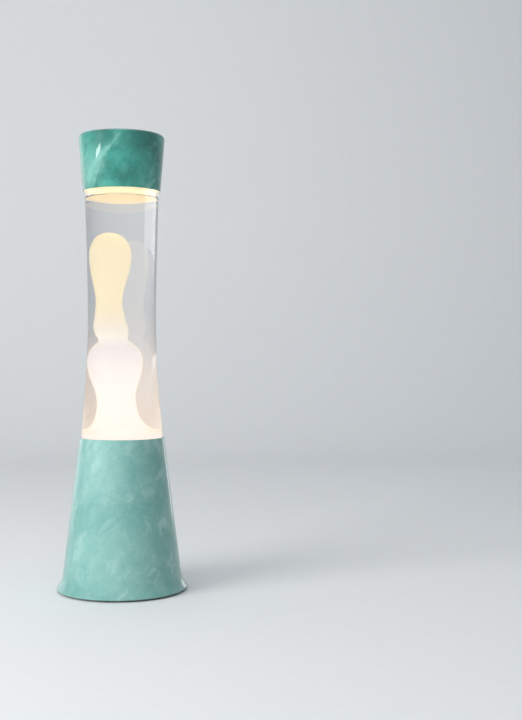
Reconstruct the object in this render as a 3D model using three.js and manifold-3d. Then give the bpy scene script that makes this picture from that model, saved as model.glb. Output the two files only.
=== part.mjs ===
// A lava lamp: a waisted glass bottle of liquid and wax that stands in a flared metal base over a reflector
// bulb, with a metal cap over its closure. Millimetres, +Z up, origin at the middle of the surface it stands on.
import * as THREE from "three";
import { mergeVertices } from "three/addons/utils/BufferGeometryUtils.js";
import Module from "manifold-3d";

const wasm = await Module();
wasm.setup();

// ---- Driving dimensions -------------------------------------------------------------------------------

const OVERALL_HEIGHT = 395;
const GAP = 0.3; // between pieces that touch
const RUNNING_GAP = 0.4; // between pieces that slide past each other
const ROUND_SEGMENTS = 32; // sides of the large turned pieces
const SMALL_SEGMENTS = 16; // sides of the fittings
const TINY_SEGMENTS = 10; // sides of screws and pins
const facetShare = Math.cos(Math.PI / ROUND_SEGMENTS); // a turned piece's radius at the middle of a side

// Base shell: a spun cone with a flared skirt and a rolled rim.
const BASE_RIM_RADIUS = 56.5;
const BASE_MOUTH_RADIUS = 36.5;
const SHEET = 0.8;
const SKIRT_HEIGHT = 13;
const SKIRT_WIDTH = 5.4; // how far the rim stands out from the foot of the cone
const SKIRT_ANGLE = (52 * Math.PI) / 180; // fall of the skirt's edge below level
const RIM_BEAD_RADIUS = 1.3;
const RIM_CLEARANCE = 1.5; // the rim over the surface

// Bottom plate with its feet, lugs and screws.
const PLATE_THICKNESS = 1.6;
const PLATE_HEIGHT = 4; // its underside over the surface
const PLATE_EDGE_GAP = 0.7;
const FOOT_COUNT = 4;
const FOOT_RADIUS = 5.5;
const FOOT_INSET = 10; // from the plate's edge to a foot's middle
const LUG_COUNT = 3;
const LUG_WIDTH = 10;
const LUG_HEIGHT = 10;
const LUG_LEAF = 10;
const LUG_SHEET = 1.2;
const SCREW_RADIUS = 1.5;
const SCREW_HOLE_GAP = 0.45;
const SCREW_HEAD_RADIUS = 2.9;
const SCREW_HEAD_HEIGHT = 1.8;
const VENT_COUNT = 12;
const VENT_WIDTH = 3.4;
const VENT_LENGTH = 11;
const VENT_INSET = 21; // from the plate's edge to a vent's outer end

// Lamp holder on its bridge.
const BRIDGE_HEIGHT = 20;
const BRIDGE_SPAN = 32; // between the legs' outsides
const BRIDGE_WIDTH = 16;
const BRIDGE_FOOT = 9;
const BRIDGE_SHEET = 1.2;
const NIPPLE_RADIUS = 5;
const NIPPLE_BORE = 3.9;
const NIPPLE_RISE = 4; // how far the nipple reaches into the holder
const NIPPLE_DROP = 4.4; // how far it hangs below the bridge
const NUT_ACROSS = 14;
const NUT_HEIGHT = 3;
const HOLDER_RADIUS = 13.5;
const HOLDER_HEIGHT = 32;
const HOLDER_WALL = 2.2;
const CONTACT_ROOM = 2.5; // between the nipple's top and the wall that carries the contacts
const SOCKET_SHELL_WALL = 0.4;
const PARTITION_THICKNESS = 1.6; // the wall across the holder that carries the contacts
const CONTACT_BORE = 4.6;
const TONGUE_WIDTH = 4;
const TONGUE_RISE = 1.4; // how far it stands over the wall
const TONGUE_OVER_NIPPLE = 1.1;

// Reflector bulb with a small screw cap.
const BULB_LENGTH = 66;
const BULB_FACE_RADIUS = 19.5;
const BULB_NECK_RADIUS = 8.6;
const BULB_SCREW_RADIUS = 7;
const BULB_SCREW_LENGTH = 15;
const BULB_THREAD_PITCH = 2.82;
const BULB_THREAD_DEPTH = 0.45;
const BULB_SHEET = 0.35;
const BULB_TURNS = 4; // turns that free it
const BULB_WALL = 0.8;
const FILAMENT_WIRE = 0.45;

// Seat for the bottle inside the base's mouth.
const SEAT_OVER_BULB = 2; // clear of the bulb when it is unscrewed
const SEAT_SHEET = 1;
const SEAT_LEDGE = 7.5; // how far the ledge reaches under the bottle
const SEAT_LIP = 4;
const GASKET_THICKNESS = 1.5;
const SOCKET_DEPTH = 14.6; // the bottle's foot below the mouth

// Bottle.
const GLASS_WALL = 2.2;
const GLASS_FLOOR = 3.8;
const FOOT_TAPER = 1; // the foot is this much slimmer at its bottom
const FOOT_EDGE_RADIUS = 4;
const WAIST_RADIUS = 29.6;
const WAIST_HEIGHT = 236;
const GLASS_FLARE_LOW = 0.092; // slope of the side at the mouth
const GLASS_FLARE_HIGH = 0.035; // slope of the side under the cap
const NECK_RADIUS = 13;
const NECK_LENGTH = 12;
const NECK_BORE = 9.5;
const NECK_BEAD = 1.2;
const SHOULDER_RISE = 12;
const SHOULDER_INSIDE_CAP = 4; // straight side over the cap's edge
const CLOSURE_HEIGHT = 6.4;
const CLOSURE_SHEET = 0.4;
const CLOSURE_FLUTES = 21;
const CLOSURE_FLUTE_DEPTH = 0.5;
const LINER_THICKNESS = 0.9;
const LIQUID_BELOW_CAP = 5.8; // the liquid's level under the cap's edge
const FILL_GAP = 0.3; // between the fillings and what holds them
const COIL_RADIUS = 20;
const COIL_THICKNESS = 3.2;
const LENS_SHARE = 0.8; // radius of the floating wax as a share of the bore
const LENS_MIDDLE = 5.4; // its thickness at the axis
const LENS_EDGE = 0.5; // and at its edge

// Cap.
const CAP_HEIGHT = 48.5;
const CAP_BOTTOM_RADIUS = 33.4;
const CAP_TOP_RADIUS = 37.2;
const CAP_EDGE_RADIUS = 3.2;
const INSERT_SHEET = 1.6;
const INSERT_COLLAR_RADIUS = 24;

// Wiring inside the base, and the inlet for the supply cord.
const BLOCK_WIDTH = 29;
const BLOCK_DEPTH = 12;
const BLOCK_HEIGHT = 12;
const BLOCK_BEHIND_AXIS = 30;
const WAY_PITCH = 8;
const WAY_BORE = 1.6;
const LEAD_RADIUS = 1.1;
const LEAD_IN_BLOCK = 3;
const GROMMET_BORE = 3.6;
const GROMMET_RADIUS = 5.6;
const GROMMET_FLANGE_RADIUS = 7.6;
const GROMMET_FLANGE = 1.4;
const GROMMET_OVER_SKIRT = 9;

// ---- Heights and radii that follow ---------------------------------------------------------------------

const plateTop = PLATE_HEIGHT + PLATE_THICKNESS;
const bridgeBottom = plateTop + GAP;
const bridgeTop = bridgeBottom + BRIDGE_HEIGHT;
const holderBottom = bridgeTop + GAP;
const nippleTop = holderBottom + NIPPLE_RISE;
const partitionBottom = nippleTop + CONTACT_ROOM;
const partitionTop = partitionBottom + PARTITION_THICKNESS;
const bulbTip = partitionTop + TONGUE_RISE + GAP;
const bulbTop = bulbTip + BULB_LENGTH;
const bulbTravel = BULB_TURNS * BULB_THREAD_PITCH;
const seatBottom = bulbTop + bulbTravel + SEAT_OVER_BULB;
const seatTop = seatBottom + SEAT_SHEET;
const gasketBottom = seatTop + GAP;
const bottleBottom = gasketBottom + GASKET_THICKNESS + GAP;
const mouthHeight = bottleBottom + SOCKET_DEPTH;
const capBottom = OVERALL_HEIGHT - CAP_HEIGHT;

const skirtTop = RIM_CLEARANCE + RIM_BEAD_RADIUS + SKIRT_HEIGHT;
const coneFootRadius = BASE_RIM_RADIUS - SKIRT_WIDTH;
const coneSlope = (coneFootRadius - BASE_MOUTH_RADIUS) / (mouthHeight - skirtTop);

const glassMouthRadius = BASE_MOUTH_RADIUS - SHEET - RUNNING_GAP;
const glassTopRadius = CAP_BOTTOM_RADIUS - SHEET - RUNNING_GAP;
const glassFootRadius = glassMouthRadius - FOOT_TAPER;
const shoulderBottom = capBottom + SHOULDER_INSIDE_CAP;
const shoulderTop = shoulderBottom + SHOULDER_RISE;
const neckTop = shoulderTop + NECK_LENGTH;
const liquidLevel = capBottom - LIQUID_BELOW_CAP;
const floorTop = bottleBottom + GLASS_FLOOR;

// ---- Helpers -------------------------------------------------------------------------------------------

const at = (r, z) => new THREE.Vector2(r, z);

// Twice the signed area of a closed outline.
function turning(points) {
  let sum = 0;
  points.forEach((p, i) => {
    const q = points[(i + 1) % points.length];
    sum += p.x * q.y - q.x * p.y;
  });
  return sum;
}

// A solid of revolution round Z from an outline in (radius, height).
function turned(outline, segments = ROUND_SEGMENTS) {
  const points = turning(outline) > 0 ? outline : [...outline].reverse();
  const open = points[0].x < 1e-6 && points[points.length - 1].x < 1e-6;
  const profile = open ? points : [...points, points[0].clone()];
  const geometry = new THREE.LatheGeometry(profile, segments);
  return geometry.rotateX(Math.PI / 2);
}

// A tube or ring with flat ends between two radii and two heights.
function ring(inner, outer, bottom, top, segments = SMALL_SEGMENTS) {
  return turned([at(inner, bottom), at(outer, bottom), at(outer, top), at(inner, top)], segments);
}

function disc(radius, bottom, top, segments = SMALL_SEGMENTS) {
  return turned([at(0, bottom), at(radius, bottom), at(radius, top), at(0, top)], segments);
}

// The points of a line in (radius, height), moved sideways to its left as it runs.
function beside(points, distance) {
  return points.map((p, i) => {
    const before = points[Math.max(i - 1, 0)];
    const after = points[Math.min(i + 1, points.length - 1)];
    const along = after.clone().sub(before).normalize();
    return at(p.x - along.y * distance, p.y + along.x * distance);
  });
}

// Points on a circular arc in (radius, height), angles in radians from outwards.
function arc(centre, radius, from, to, steps) {
  return Array.from({ length: steps + 1 }, (_, i) => {
    const angle = from + ((to - from) * i) / steps;
    return at(centre.x + radius * Math.cos(angle), centre.y + radius * Math.sin(angle));
  });
}

// A plate of a given outline and thickness that stands on a height.
function plate(shape, bottom, thickness, curveSegments = SMALL_SEGMENTS) {
  const geometry = new THREE.ExtrudeGeometry(shape, { depth: thickness, bevelEnabled: false, curveSegments });
  return geometry.translate(0, 0, bottom);
}

function solid(geometry) {
  const bare = geometry.index ? geometry.toNonIndexed() : geometry.clone();
  bare.deleteAttribute("normal");
  bare.deleteAttribute("uv");
  const merged = mergeVertices(bare, 1e-4);
  return new wasm.Manifold(
    new wasm.Mesh({
      numProp: 3,
      vertProperties: merged.attributes.position.array,
      triVerts: new Uint32Array(merged.index.array),
    }),
  );
}

function geometryOf(manifold) {
  const mesh = manifold.getMesh();
  const geometry = new THREE.BufferGeometry();
  geometry.setAttribute("position", new THREE.BufferAttribute(mesh.vertProperties, 3));
  geometry.setIndex(new THREE.BufferAttribute(mesh.triVerts, 1));
  return geometry;
}

// The geometry with each of the cutters taken away.
function cut(geometry, cutters) {
  const left = cutters.reduce((body, cutter) => body.subtract(solid(cutter)), solid(geometry));
  return geometryOf(left);
}

// A round rod along any direction.
function rod(from, to, radius, segments = TINY_SEGMENTS) {
  const along = to.clone().sub(from);
  const geometry = new THREE.CylinderGeometry(radius, radius, along.length(), segments);
  const up = new THREE.Vector3(0, 1, 0);
  geometry.applyQuaternion(new THREE.Quaternion().setFromUnitVectors(up, along.clone().normalize()));
  const middle = from.clone().add(to).multiplyScalar(0.5);
  return geometry.translate(middle.x, middle.y, middle.z);
}

const v3 = (x, y, z) => new THREE.Vector3(x, y, z);

// A round wire along a smooth curve through points.
function wire(points, radius, steps = 22, sides = 8) {
  const path = new THREE.CatmullRomCurve3(points, false, "centripetal");
  const section = new THREE.Shape();
  section.absarc(0, 0, radius, 0, 2 * Math.PI);
  const settings = { steps, extrudePath: path, curveSegments: sides / 2, bevelEnabled: false };
  return new THREE.ExtrudeGeometry(section, settings);
}

// A pan-head screw that points up, with its head's underside at z = 0, and a cross recess.
function screw(shank, radius = SCREW_RADIUS, head = SCREW_HEAD_RADIUS, headHeight = SCREW_HEAD_HEIGHT) {
  const outline = [
    at(0, -headHeight),
    at(head * 0.6, -headHeight),
    at(head * 0.93, -headHeight * 0.62),
    at(head, 0),
    at(radius, 0),
    at(radius, shank - radius * 0.6),
    at(radius * 0.5, shank),
    at(0, shank),
  ];
  const slotWidth = head * 0.28;
  const slots = [0, 1].map((turn) => {
    const slot = new THREE.BoxGeometry(head * 1.2, slotWidth, headHeight);
    return slot.rotateZ((turn * Math.PI) / 2).translate(0, 0, -headHeight);
  });
  return cut(turned(outline, TINY_SEGMENTS), slots);
}

// ---- Materials -----------------------------------------------------------------------------------------

const finish = (color, roughness, metalness, more = {}) =>
  new THREE.MeshStandardMaterial({ color, roughness, metalness, ...more });

const marbledBase = finish(0x8cc4b8, 0.25, 0.0);
const marbledCap = finish(0x4aa593, 0.22, 0.0);
const clearGlass = finish(0xf2f6f5, 0.03, 0.0, { transparent: true, opacity: 0.3 });
const clearLiquid = finish(0xd9d6d4, 0.05, 0.0, { transparent: true, opacity: 0.35 });
const creamWax = finish(0xfff4dc, 0.45, 0.0, { emissive: 0xfff0cc, emissiveIntensity: 0.9 });
const tinPlate = finish(0xc9b06a, 0.3, 1.0);
const zincSteel = finish(0xb8bcc0, 0.4, 1.0);
const brass = finish(0xc8a24a, 0.32, 1.0);
const blackRubber = finish(0x1b1c1d, 0.85, 0.0);
const clearSilicone = finish(0xd8dad8, 0.5, 0.0);
const blackPlastic = finish(0x202223, 0.55, 0.0);
const whitePlastic = finish(0xe9e8e2, 0.5, 0.0);
const whiteCeramic = finish(0xf0ede6, 0.35, 0.0);
const frostedGlass = finish(0xf6f2e8, 0.5, 0.0);
const tungsten = finish(0x6b6560, 0.5, 1.0);
const brownLead = finish(0x5b3620, 0.5, 0.0);
const blueLead = finish(0x2457a6, 0.5, 0.0);
const earthLead = finish(0x7fa62a, 0.5, 0.0);

const lamp = new THREE.Group();

// Adds a piece to the lamp under its name and returns it, so that it can be placed.
function add(name, geometry, material) {
  const mesh = new THREE.Mesh(geometry, material);
  mesh.name = name;
  lamp.add(mesh);
  return mesh;
}

const fullTurn = 2 * Math.PI;
const spread = (count, first) => Array.from({ length: count }, (_, i) => first + (fullTurn * i) / count);

// ---- Base shell ----------------------------------------------------------------------------------------

// The rolled bead at the rim, and where the skirt's outside meets it.
const bead = at(BASE_RIM_RADIUS - RIM_BEAD_RADIUS, RIM_CLEARANCE + RIM_BEAD_RADIUS);
const beadMeets = Math.PI / 2 - SKIRT_ANGLE;

// The shell's outside from the mouth down to the bead.
function shellOutside() {
  const meet = arc(bead, RIM_BEAD_RADIUS, beadMeets, beadMeets, 1)[0];
  const reach = SKIRT_HEIGHT * 0.5;
  const path = new THREE.Path();
  path.moveTo(BASE_MOUTH_RADIUS, mouthHeight);
  path.lineTo(coneFootRadius - coneSlope * 30, skirtTop + 30);
  path.lineTo(coneFootRadius, skirtTop);
  path.bezierCurveTo(
    coneFootRadius + coneSlope * reach,
    skirtTop - reach,
    meet.x - Math.cos(SKIRT_ANGLE) * reach * 0.6,
    meet.y + Math.sin(SKIRT_ANGLE) * reach * 0.6,
    meet.x,
    meet.y,
  );
  return path.getPoints(6);
}

const outside = shellOutside();
const inside = beside(outside, -SHEET);

// The radius of a line in (radius, height) that runs down, at a height.
function radiusAt(line, z) {
  const i = line.findIndex((p) => p.y <= z);
  const [a, b] = [line[Math.max(i - 1, 0)], line[Math.max(i, 1)]];
  return a.x + ((b.x - a.x) * (z - a.y)) / (b.y - a.y);
}

function baseShell() {
  const wallMeets = beadMeets + Math.acos((RIM_BEAD_RADIUS - SHEET) / RIM_BEAD_RADIUS);
  const roll = arc(bead, RIM_BEAD_RADIUS, beadMeets, wallMeets - fullTurn, 10);
  const outline = [...outside.slice(0, -1), ...roll, ...inside.slice(0, -1).reverse()];
  return turned(outline);
}

// The inlet for the supply cord, square to the cone's wall at the back.
const inletHeight = skirtTop + GROMMET_OVER_SKIRT;
const inletRadius = radiusAt(outside, inletHeight) - SHEET / 2;
const inletTilt = Math.atan(coneSlope);

// Places a piece that was turned round Z so that it stands square to the wall at the inlet.
function toInlet(geometry) {
  geometry.rotateX(-Math.PI / 2 + inletTilt);
  return geometry.translate(0, inletRadius, inletHeight);
}

const inletHole = toInlet(disc(GROMMET_RADIUS, -SHEET * 4, SHEET * 4));
add("base_shell", cut(baseShell(), [inletHole]), marbledBase);

// The wall is curved, so on its hollow side the flange stands off by the wall's rise across it.
function grommet() {
  const facetRise = inletRadius * (1 - facetShare);
  const rise = inletRadius - Math.sqrt(inletRadius ** 2 - GROMMET_FLANGE_RADIUS ** 2) + facetRise;
  const front = SHEET / 2 + GAP;
  const back = -SHEET / 2 - GAP - rise;
  const stem = GROMMET_RADIUS - GAP;
  const outline = [
    at(GROMMET_BORE, back - GROMMET_FLANGE),
    at(GROMMET_FLANGE_RADIUS - 0.5, back - GROMMET_FLANGE),
    at(GROMMET_FLANGE_RADIUS, back),
    at(stem, back),
    at(stem, front),
    at(GROMMET_FLANGE_RADIUS, front),
    at(GROMMET_FLANGE_RADIUS - 0.5, front + GROMMET_FLANGE),
    at(GROMMET_BORE, front + GROMMET_FLANGE),
  ];
  return toInlet(turned(outline, SMALL_SEGMENTS));
}
add("cord_grommet", grommet(), blackRubber);

// ---- Seat for the bottle -------------------------------------------------------------------------------

const seatRadius = glassFootRadius - SEAT_LEDGE;

function seatRing() {
  const skirtBase = radiusAt(inside, seatBottom) - GAP;
  const skirtHeight = SOCKET_DEPTH * 0.55;
  const skirtEnd = radiusAt(inside, seatTop + skirtHeight) - GAP;
  const outline = [
    at(seatRadius, seatBottom - SEAT_LIP),
    at(seatRadius + SEAT_SHEET, seatBottom - SEAT_LIP),
    at(seatRadius + SEAT_SHEET, seatBottom),
    at(skirtBase, seatBottom),
    at(skirtEnd, seatTop + skirtHeight),
    at(skirtEnd - SHEET, seatTop + skirtHeight),
    at(skirtBase - SHEET, seatTop),
    at(seatRadius, seatTop),
  ];
  return turned(outline);
}
add("bottle_seat_ring", seatRing(), zincSteel);

const gasketOuter = glassFootRadius - FOOT_EDGE_RADIUS * 0.3;
const gasketTop = gasketBottom + GASKET_THICKNESS;
add("seat_gasket", ring(seatRadius + 2, gasketOuter, gasketBottom, gasketTop, ROUND_SEGMENTS), clearSilicone);

// ---- Bottom plate, its lugs, screws and feet -----------------------------------------------------------

const plateRadius = radiusAt(inside, plateTop) - PLATE_EDGE_GAP;
const plateHole = SCREW_RADIUS + SCREW_HOLE_GAP;
const lugAngles = spread(LUG_COUNT, -Math.PI / 2);
const footAngles = spread(FOOT_COUNT, Math.PI / 4);
const lugOuter = radiusAt(inside, bridgeBottom + LUG_HEIGHT) * facetShare - GAP;
const lugStandOff = lugOuter - Math.sqrt(lugOuter ** 2 - (LUG_WIDTH / 2) ** 2);
const lugFace = lugOuter - lugStandOff;
const lugScrewRadius = lugFace - LUG_LEAF * 0.55;
const bridgeScrewRadius = BRIDGE_SPAN / 2 + BRIDGE_FOOT * 0.55;

function circleHole(x, y, radius) {
  const hole = new THREE.Path();
  hole.absarc(x, y, radius, 0, fullTurn, true);
  return hole;
}

// A slot with round ends that lies along a radius.
function ventHole(angle, outerEnd) {
  const half = VENT_WIDTH / 2;
  const near = outerEnd - VENT_LENGTH + half;
  const far = outerEnd - half;
  const hole = new THREE.Path();
  hole.absarc(far * Math.cos(angle), far * Math.sin(angle), half, angle + Math.PI / 2, angle - Math.PI / 2, true);
  hole.absarc(near * Math.cos(angle), near * Math.sin(angle), half, angle - Math.PI / 2, angle - 1.5 * Math.PI, true);
  hole.closePath();
  return hole;
}

// The vents lie in a ring, and one that would meet a fitting on the plate is left out.
function ventAngles() {
  const clearOf = (angle) => Math.abs(Math.cos(angle)) < 0.9 && Math.sin(angle) < 0.75;
  return spread(VENT_COUNT, Math.PI / VENT_COUNT).filter(clearOf);
}

const blockScrew = v3(WAY_PITCH / 2, BLOCK_BEHIND_AXIS, 0);
const blockScrewRadius = 1.3;

function bottomPlate() {
  const edge = spread(ROUND_SEGMENTS, 0).map((a) => at(plateRadius * Math.cos(a), plateRadius * Math.sin(a)));
  const shape = new THREE.Shape(edge);
  for (const angle of lugAngles) {
    shape.holes.push(circleHole(lugScrewRadius * Math.cos(angle), lugScrewRadius * Math.sin(angle), plateHole));
  }
  for (const side of [-1, 1]) {
    shape.holes.push(circleHole(side * bridgeScrewRadius, 0, plateHole));
  }
  for (const angle of ventAngles()) {
    shape.holes.push(ventHole(angle, plateRadius - VENT_INSET));
  }
  return plate(shape, PLATE_HEIGHT, PLATE_THICKNESS, 4);
}
add("bottom_plate", bottomPlate(), blackPlastic);

// A bent tab on the shell's wall, drawn in the plane of a radius.
function lug() {
  const top = bridgeBottom + LUG_HEIGHT;
  const foot = lugFace + (LUG_HEIGHT - LUG_SHEET) * coneSlope * 0.5;
  const shape = new THREE.Shape([
    at(lugFace - LUG_LEAF, bridgeBottom),
    at(foot, bridgeBottom),
    at(lugFace, top),
    at(lugFace - LUG_SHEET, top),
    at(foot - LUG_SHEET, bridgeBottom + LUG_SHEET),
    at(lugFace - LUG_LEAF, bridgeBottom + LUG_SHEET),
  ]);
  const leaf = new THREE.ExtrudeGeometry(shape, { depth: LUG_WIDTH, bevelEnabled: false });
  leaf.translate(0, 0, -LUG_WIDTH / 2).rotateX(Math.PI / 2);
  const hole = disc(plateHole, -1, 1, TINY_SEGMENTS).translate(lugScrewRadius, 0, bridgeBottom + LUG_SHEET / 2);
  return cut(leaf, [hole]);
}

lugAngles.forEach((angle, i) => {
  add(`plate_lug_${i + 1}`, lug(), zincSteel).rotation.z = angle;
  const held = add(`plate_screw_${i + 1}`, screw(PLATE_THICKNESS + LUG_SHEET + 4), zincSteel);
  held.position.set(
    lugScrewRadius * Math.cos(angle),
    lugScrewRadius * Math.sin(angle),
    PLATE_HEIGHT - GAP,
  );
});

footAngles.forEach((angle, i) => {
  const height = PLATE_HEIGHT - GAP;
  const outline = [at(0, 0), at(FOOT_RADIUS - 0.8, 0), at(FOOT_RADIUS, 0.8), at(FOOT_RADIUS, height), at(0, height)];
  const foot = add(`rubber_foot_${i + 1}`, turned(outline, SMALL_SEGMENTS), blackRubber);
  const out = plateRadius - FOOT_INSET;
  foot.position.set(out * Math.cos(angle), out * Math.sin(angle), 0);
});

// ---- Bridge, nipple and lamp holder --------------------------------------------------------------------

function bridge() {
  const half = BRIDGE_SPAN / 2;
  const sheet = BRIDGE_SHEET;
  const foot = half + BRIDGE_FOOT;
  const right = [
    at(half - sheet, bridgeBottom),
    at(foot, bridgeBottom),
    at(foot, bridgeBottom + sheet),
    at(half, bridgeBottom + sheet),
    at(half, bridgeTop - 1),
    at(half - 1, bridgeTop),
  ];
  const left = right.map((p) => at(-p.x, p.y)).reverse();
  const under = [at(-half + sheet, bridgeTop - sheet), at(half - sheet, bridgeTop - sheet)];
  const strip = new THREE.ExtrudeGeometry(new THREE.Shape([...right, ...left, ...under]), {
    depth: BRIDGE_WIDTH,
    bevelEnabled: false,
  });
  strip.translate(0, 0, -BRIDGE_WIDTH / 2).rotateX(Math.PI / 2);
  const holes = [
    disc(NIPPLE_RADIUS + GAP, bridgeTop - 3, bridgeTop + 1),
    ...[-1, 1].map((side) =>
      disc(plateHole, bridgeBottom - 1, bridgeBottom + 3, TINY_SEGMENTS).translate(side * bridgeScrewRadius, 0, 0),
    ),
    rod(v3(half - 3, 0, earthHeight), v3(half + 3, 0, earthHeight), plateHole),
  ];
  return cut(strip, holes);
}

const earthHeight = bridgeBottom + BRIDGE_HEIGHT * 0.55;
add("holder_bridge", bridge(), zincSteel);

for (const [i, side] of [-1, 1].entries()) {
  const held = add(`bridge_screw_${i + 1}`, screw(PLATE_THICKNESS + BRIDGE_SHEET + 3), zincSteel);
  held.position.set(side * bridgeScrewRadius, 0, PLATE_HEIGHT - GAP);
}

const nippleBottom = bridgeTop - BRIDGE_SHEET - NIPPLE_DROP;
add("threaded_nipple", ring(NIPPLE_BORE, NIPPLE_RADIUS, nippleBottom, nippleTop), brass);

function hexNut(bore, across, height) {
  const corner = across / Math.sqrt(3);
  const shape = new THREE.Shape(spread(6, 0).map((a) => at(corner * Math.cos(a), corner * Math.sin(a))));
  shape.holes.push(circleHole(0, 0, bore));
  return plate(shape, 0, height, SMALL_SEGMENTS / 2);
}
const nut = add("nipple_nut", hexNut(NIPPLE_RADIUS + GAP, NUT_ACROSS, NUT_HEIGHT), zincSteel);
nut.position.z = bridgeTop - BRIDGE_SHEET - GAP - NUT_HEIGHT;

const socketShellInner = BULB_SCREW_RADIUS + GAP;
const socketShellOuter = socketShellInner + SOCKET_SHELL_WALL;
const holderTop = holderBottom + HOLDER_HEIGHT;
const holderFloor = 2;

// The holder's outside steps in below its skirt. Its bore holds the bulb over the wall with the contacts.
function holderBody() {
  const bore = socketShellOuter + GAP;
  const chamber = HOLDER_RADIUS - HOLDER_WALL - 1.5;
  const lower = HOLDER_RADIUS - 1.5;
  const upperBore = BULB_NECK_RADIUS + 1.6;
  const collarBottom = bulbTip + BULB_SCREW_LENGTH;
  const outline = [
    at(NIPPLE_RADIUS + GAP, holderBottom),
    at(lower - 1, holderBottom),
    at(lower, holderBottom + 1),
    at(lower, holderTop - 14),
    at(HOLDER_RADIUS, holderTop - 13),
    at(HOLDER_RADIUS, holderTop - 0.8),
    at(HOLDER_RADIUS - 0.8, holderTop),
    at(upperBore, holderTop),
    at(upperBore, collarBottom + 1),
    at(bore, collarBottom),
    at(bore, partitionTop),
    at(CONTACT_BORE, partitionTop),
    at(CONTACT_BORE, partitionBottom),
    at(chamber, partitionBottom),
    at(chamber, holderBottom + holderFloor),
    at(NIPPLE_RADIUS + GAP, holderBottom + holderFloor),
  ];
  return turned(outline, 28);
}
add("holder_body", holderBody(), whiteCeramic);

// A wavy wall for a rounded screw thread: a bulge for each pitch.
function threadWall(radius, depth, bottom, length) {
  const steps = Math.round((length / BULB_THREAD_PITCH) * 4);
  return Array.from({ length: steps + 1 }, (_, i) => {
    const wave = (1 - Math.cos((i / 4) * fullTurn)) / 2;
    return at(radius - depth + depth * wave, bottom + (length * i) / steps);
  });
}

function socketShell() {
  const bottom = partitionTop + GAP;
  const length = BULB_SCREW_LENGTH - 1;
  const outer = threadWall(socketShellOuter, 0.2, bottom, length);
  return turned([at(socketShellInner, bottom), ...outer, at(socketShellInner, bottom + length)], SMALL_SEGMENTS);
}
add("socket_thread_shell", socketShell(), brass);

// The middle contact: a sprung tongue that stands up to the bulb's tip from the wall below it.
function tongue() {
  const top = bulbTip - GAP;
  const tail = nippleTop + TONGUE_OVER_NIPPLE;
  const outer = -CONTACT_BORE + 0.8;
  const shape = new THREE.Shape([
    at(outer, tail),
    at(outer + 0.6, tail),
    at(outer + 0.6, partitionBottom),
    at(1.6, top - 0.5),
    at(1.6, top),
    at(-1.2, top),
    at(outer, partitionBottom + 0.4),
  ]);
  const strip = new THREE.ExtrudeGeometry(shape, { depth: TONGUE_WIDTH, bevelEnabled: false });
  return strip.translate(0, 0, -TONGUE_WIDTH / 2).rotateX(Math.PI / 2);
}
add("socket_tongue", tongue(), brass);

// ---- Bulb ----------------------------------------------------------------------------------------------

const screwBottom = bulbTip + 4;
const screwTop = bulbTip + 4 + BULB_SCREW_LENGTH - 2;
const screwBore = BULB_SCREW_RADIUS - BULB_THREAD_DEPTH - BULB_SHEET;
const neckInShell = screwBore * Math.cos(Math.PI / SMALL_SEGMENTS) - GAP;

function bulbOutside() {
  const path = new THREE.Path();
  const neckTopZ = screwTop + 8;
  const faceZ = bulbTop - 9;
  path.moveTo(neckInShell, screwTop - 5);
  path.lineTo(neckInShell, screwTop + GAP);
  path.bezierCurveTo(
    BULB_NECK_RADIUS,
    screwTop + 1.5,
    BULB_NECK_RADIUS,
    screwTop + 3,
    BULB_NECK_RADIUS,
    neckTopZ,
  );
  path.bezierCurveTo(BULB_NECK_RADIUS + 1.5, neckTopZ + 8, BULB_FACE_RADIUS, faceZ - 12, BULB_FACE_RADIUS, faceZ);
  path.bezierCurveTo(BULB_FACE_RADIUS, bulbTop - 3, BULB_FACE_RADIUS * 0.72, bulbTop, 0, bulbTop);
  return path.getPoints(4);
}

function bulbGlass() {
  const outer = bulbOutside();
  const inner = beside(outer, BULB_WALL);
  inner[inner.length - 1].x = 0;
  inner[0].y = outer[0].y;
  return turned([...outer, ...inner.reverse()], 20);
}
add("bulb_glass", bulbGlass(), frostedGlass);

function bulbScrewShell() {
  const wall = threadWall(BULB_SCREW_RADIUS, BULB_THREAD_DEPTH, screwBottom, screwTop - screwBottom);
  return turned([at(screwBore, screwBottom), ...wall, at(screwBore, screwTop)], SMALL_SEGMENTS);
}
add("bulb_screw_cap", bulbScrewShell(), brass);

// The black glass between the screw cap and the tip contact.
function bulbInsulator() {
  const radius = BULB_SCREW_RADIUS - BULB_THREAD_DEPTH;
  const outline = [
    at(2.6, bulbTip + 1.2),
    at(radius, screwBottom - GAP),
    at(radius - 1.5, screwBottom - GAP),
    at(2.6, screwBottom - GAP),
  ];
  return turned(outline, SMALL_SEGMENTS);
}
add("bulb_insulator", bulbInsulator(), blackPlastic);

function tipContact() {
  const outline = [
    at(0, bulbTip),
    at(1.4, bulbTip),
    at(2.2, bulbTip + 0.6),
    at(2.2, screwBottom - GAP),
    at(0, screwBottom - GAP),
  ];
  return turned(outline, SMALL_SEGMENTS);
}
add("bulb_tip_contact", tipContact(), brass);

const stemBottom = screwTop - 5;
const stemTop = screwTop + 14;
function bulbStem() {
  const outline = [
    at(0, stemBottom),
    at(neckInShell - BULB_WALL - GAP, stemBottom),
    at(neckInShell - BULB_WALL - GAP, stemBottom + 1),
    at(2.4, stemBottom + 4),
    at(1.9, stemTop),
    at(0, stemTop),
  ];
  return turned(outline, TINY_SEGMENTS);
}
add("bulb_stem", bulbStem(), clearGlass);

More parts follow.
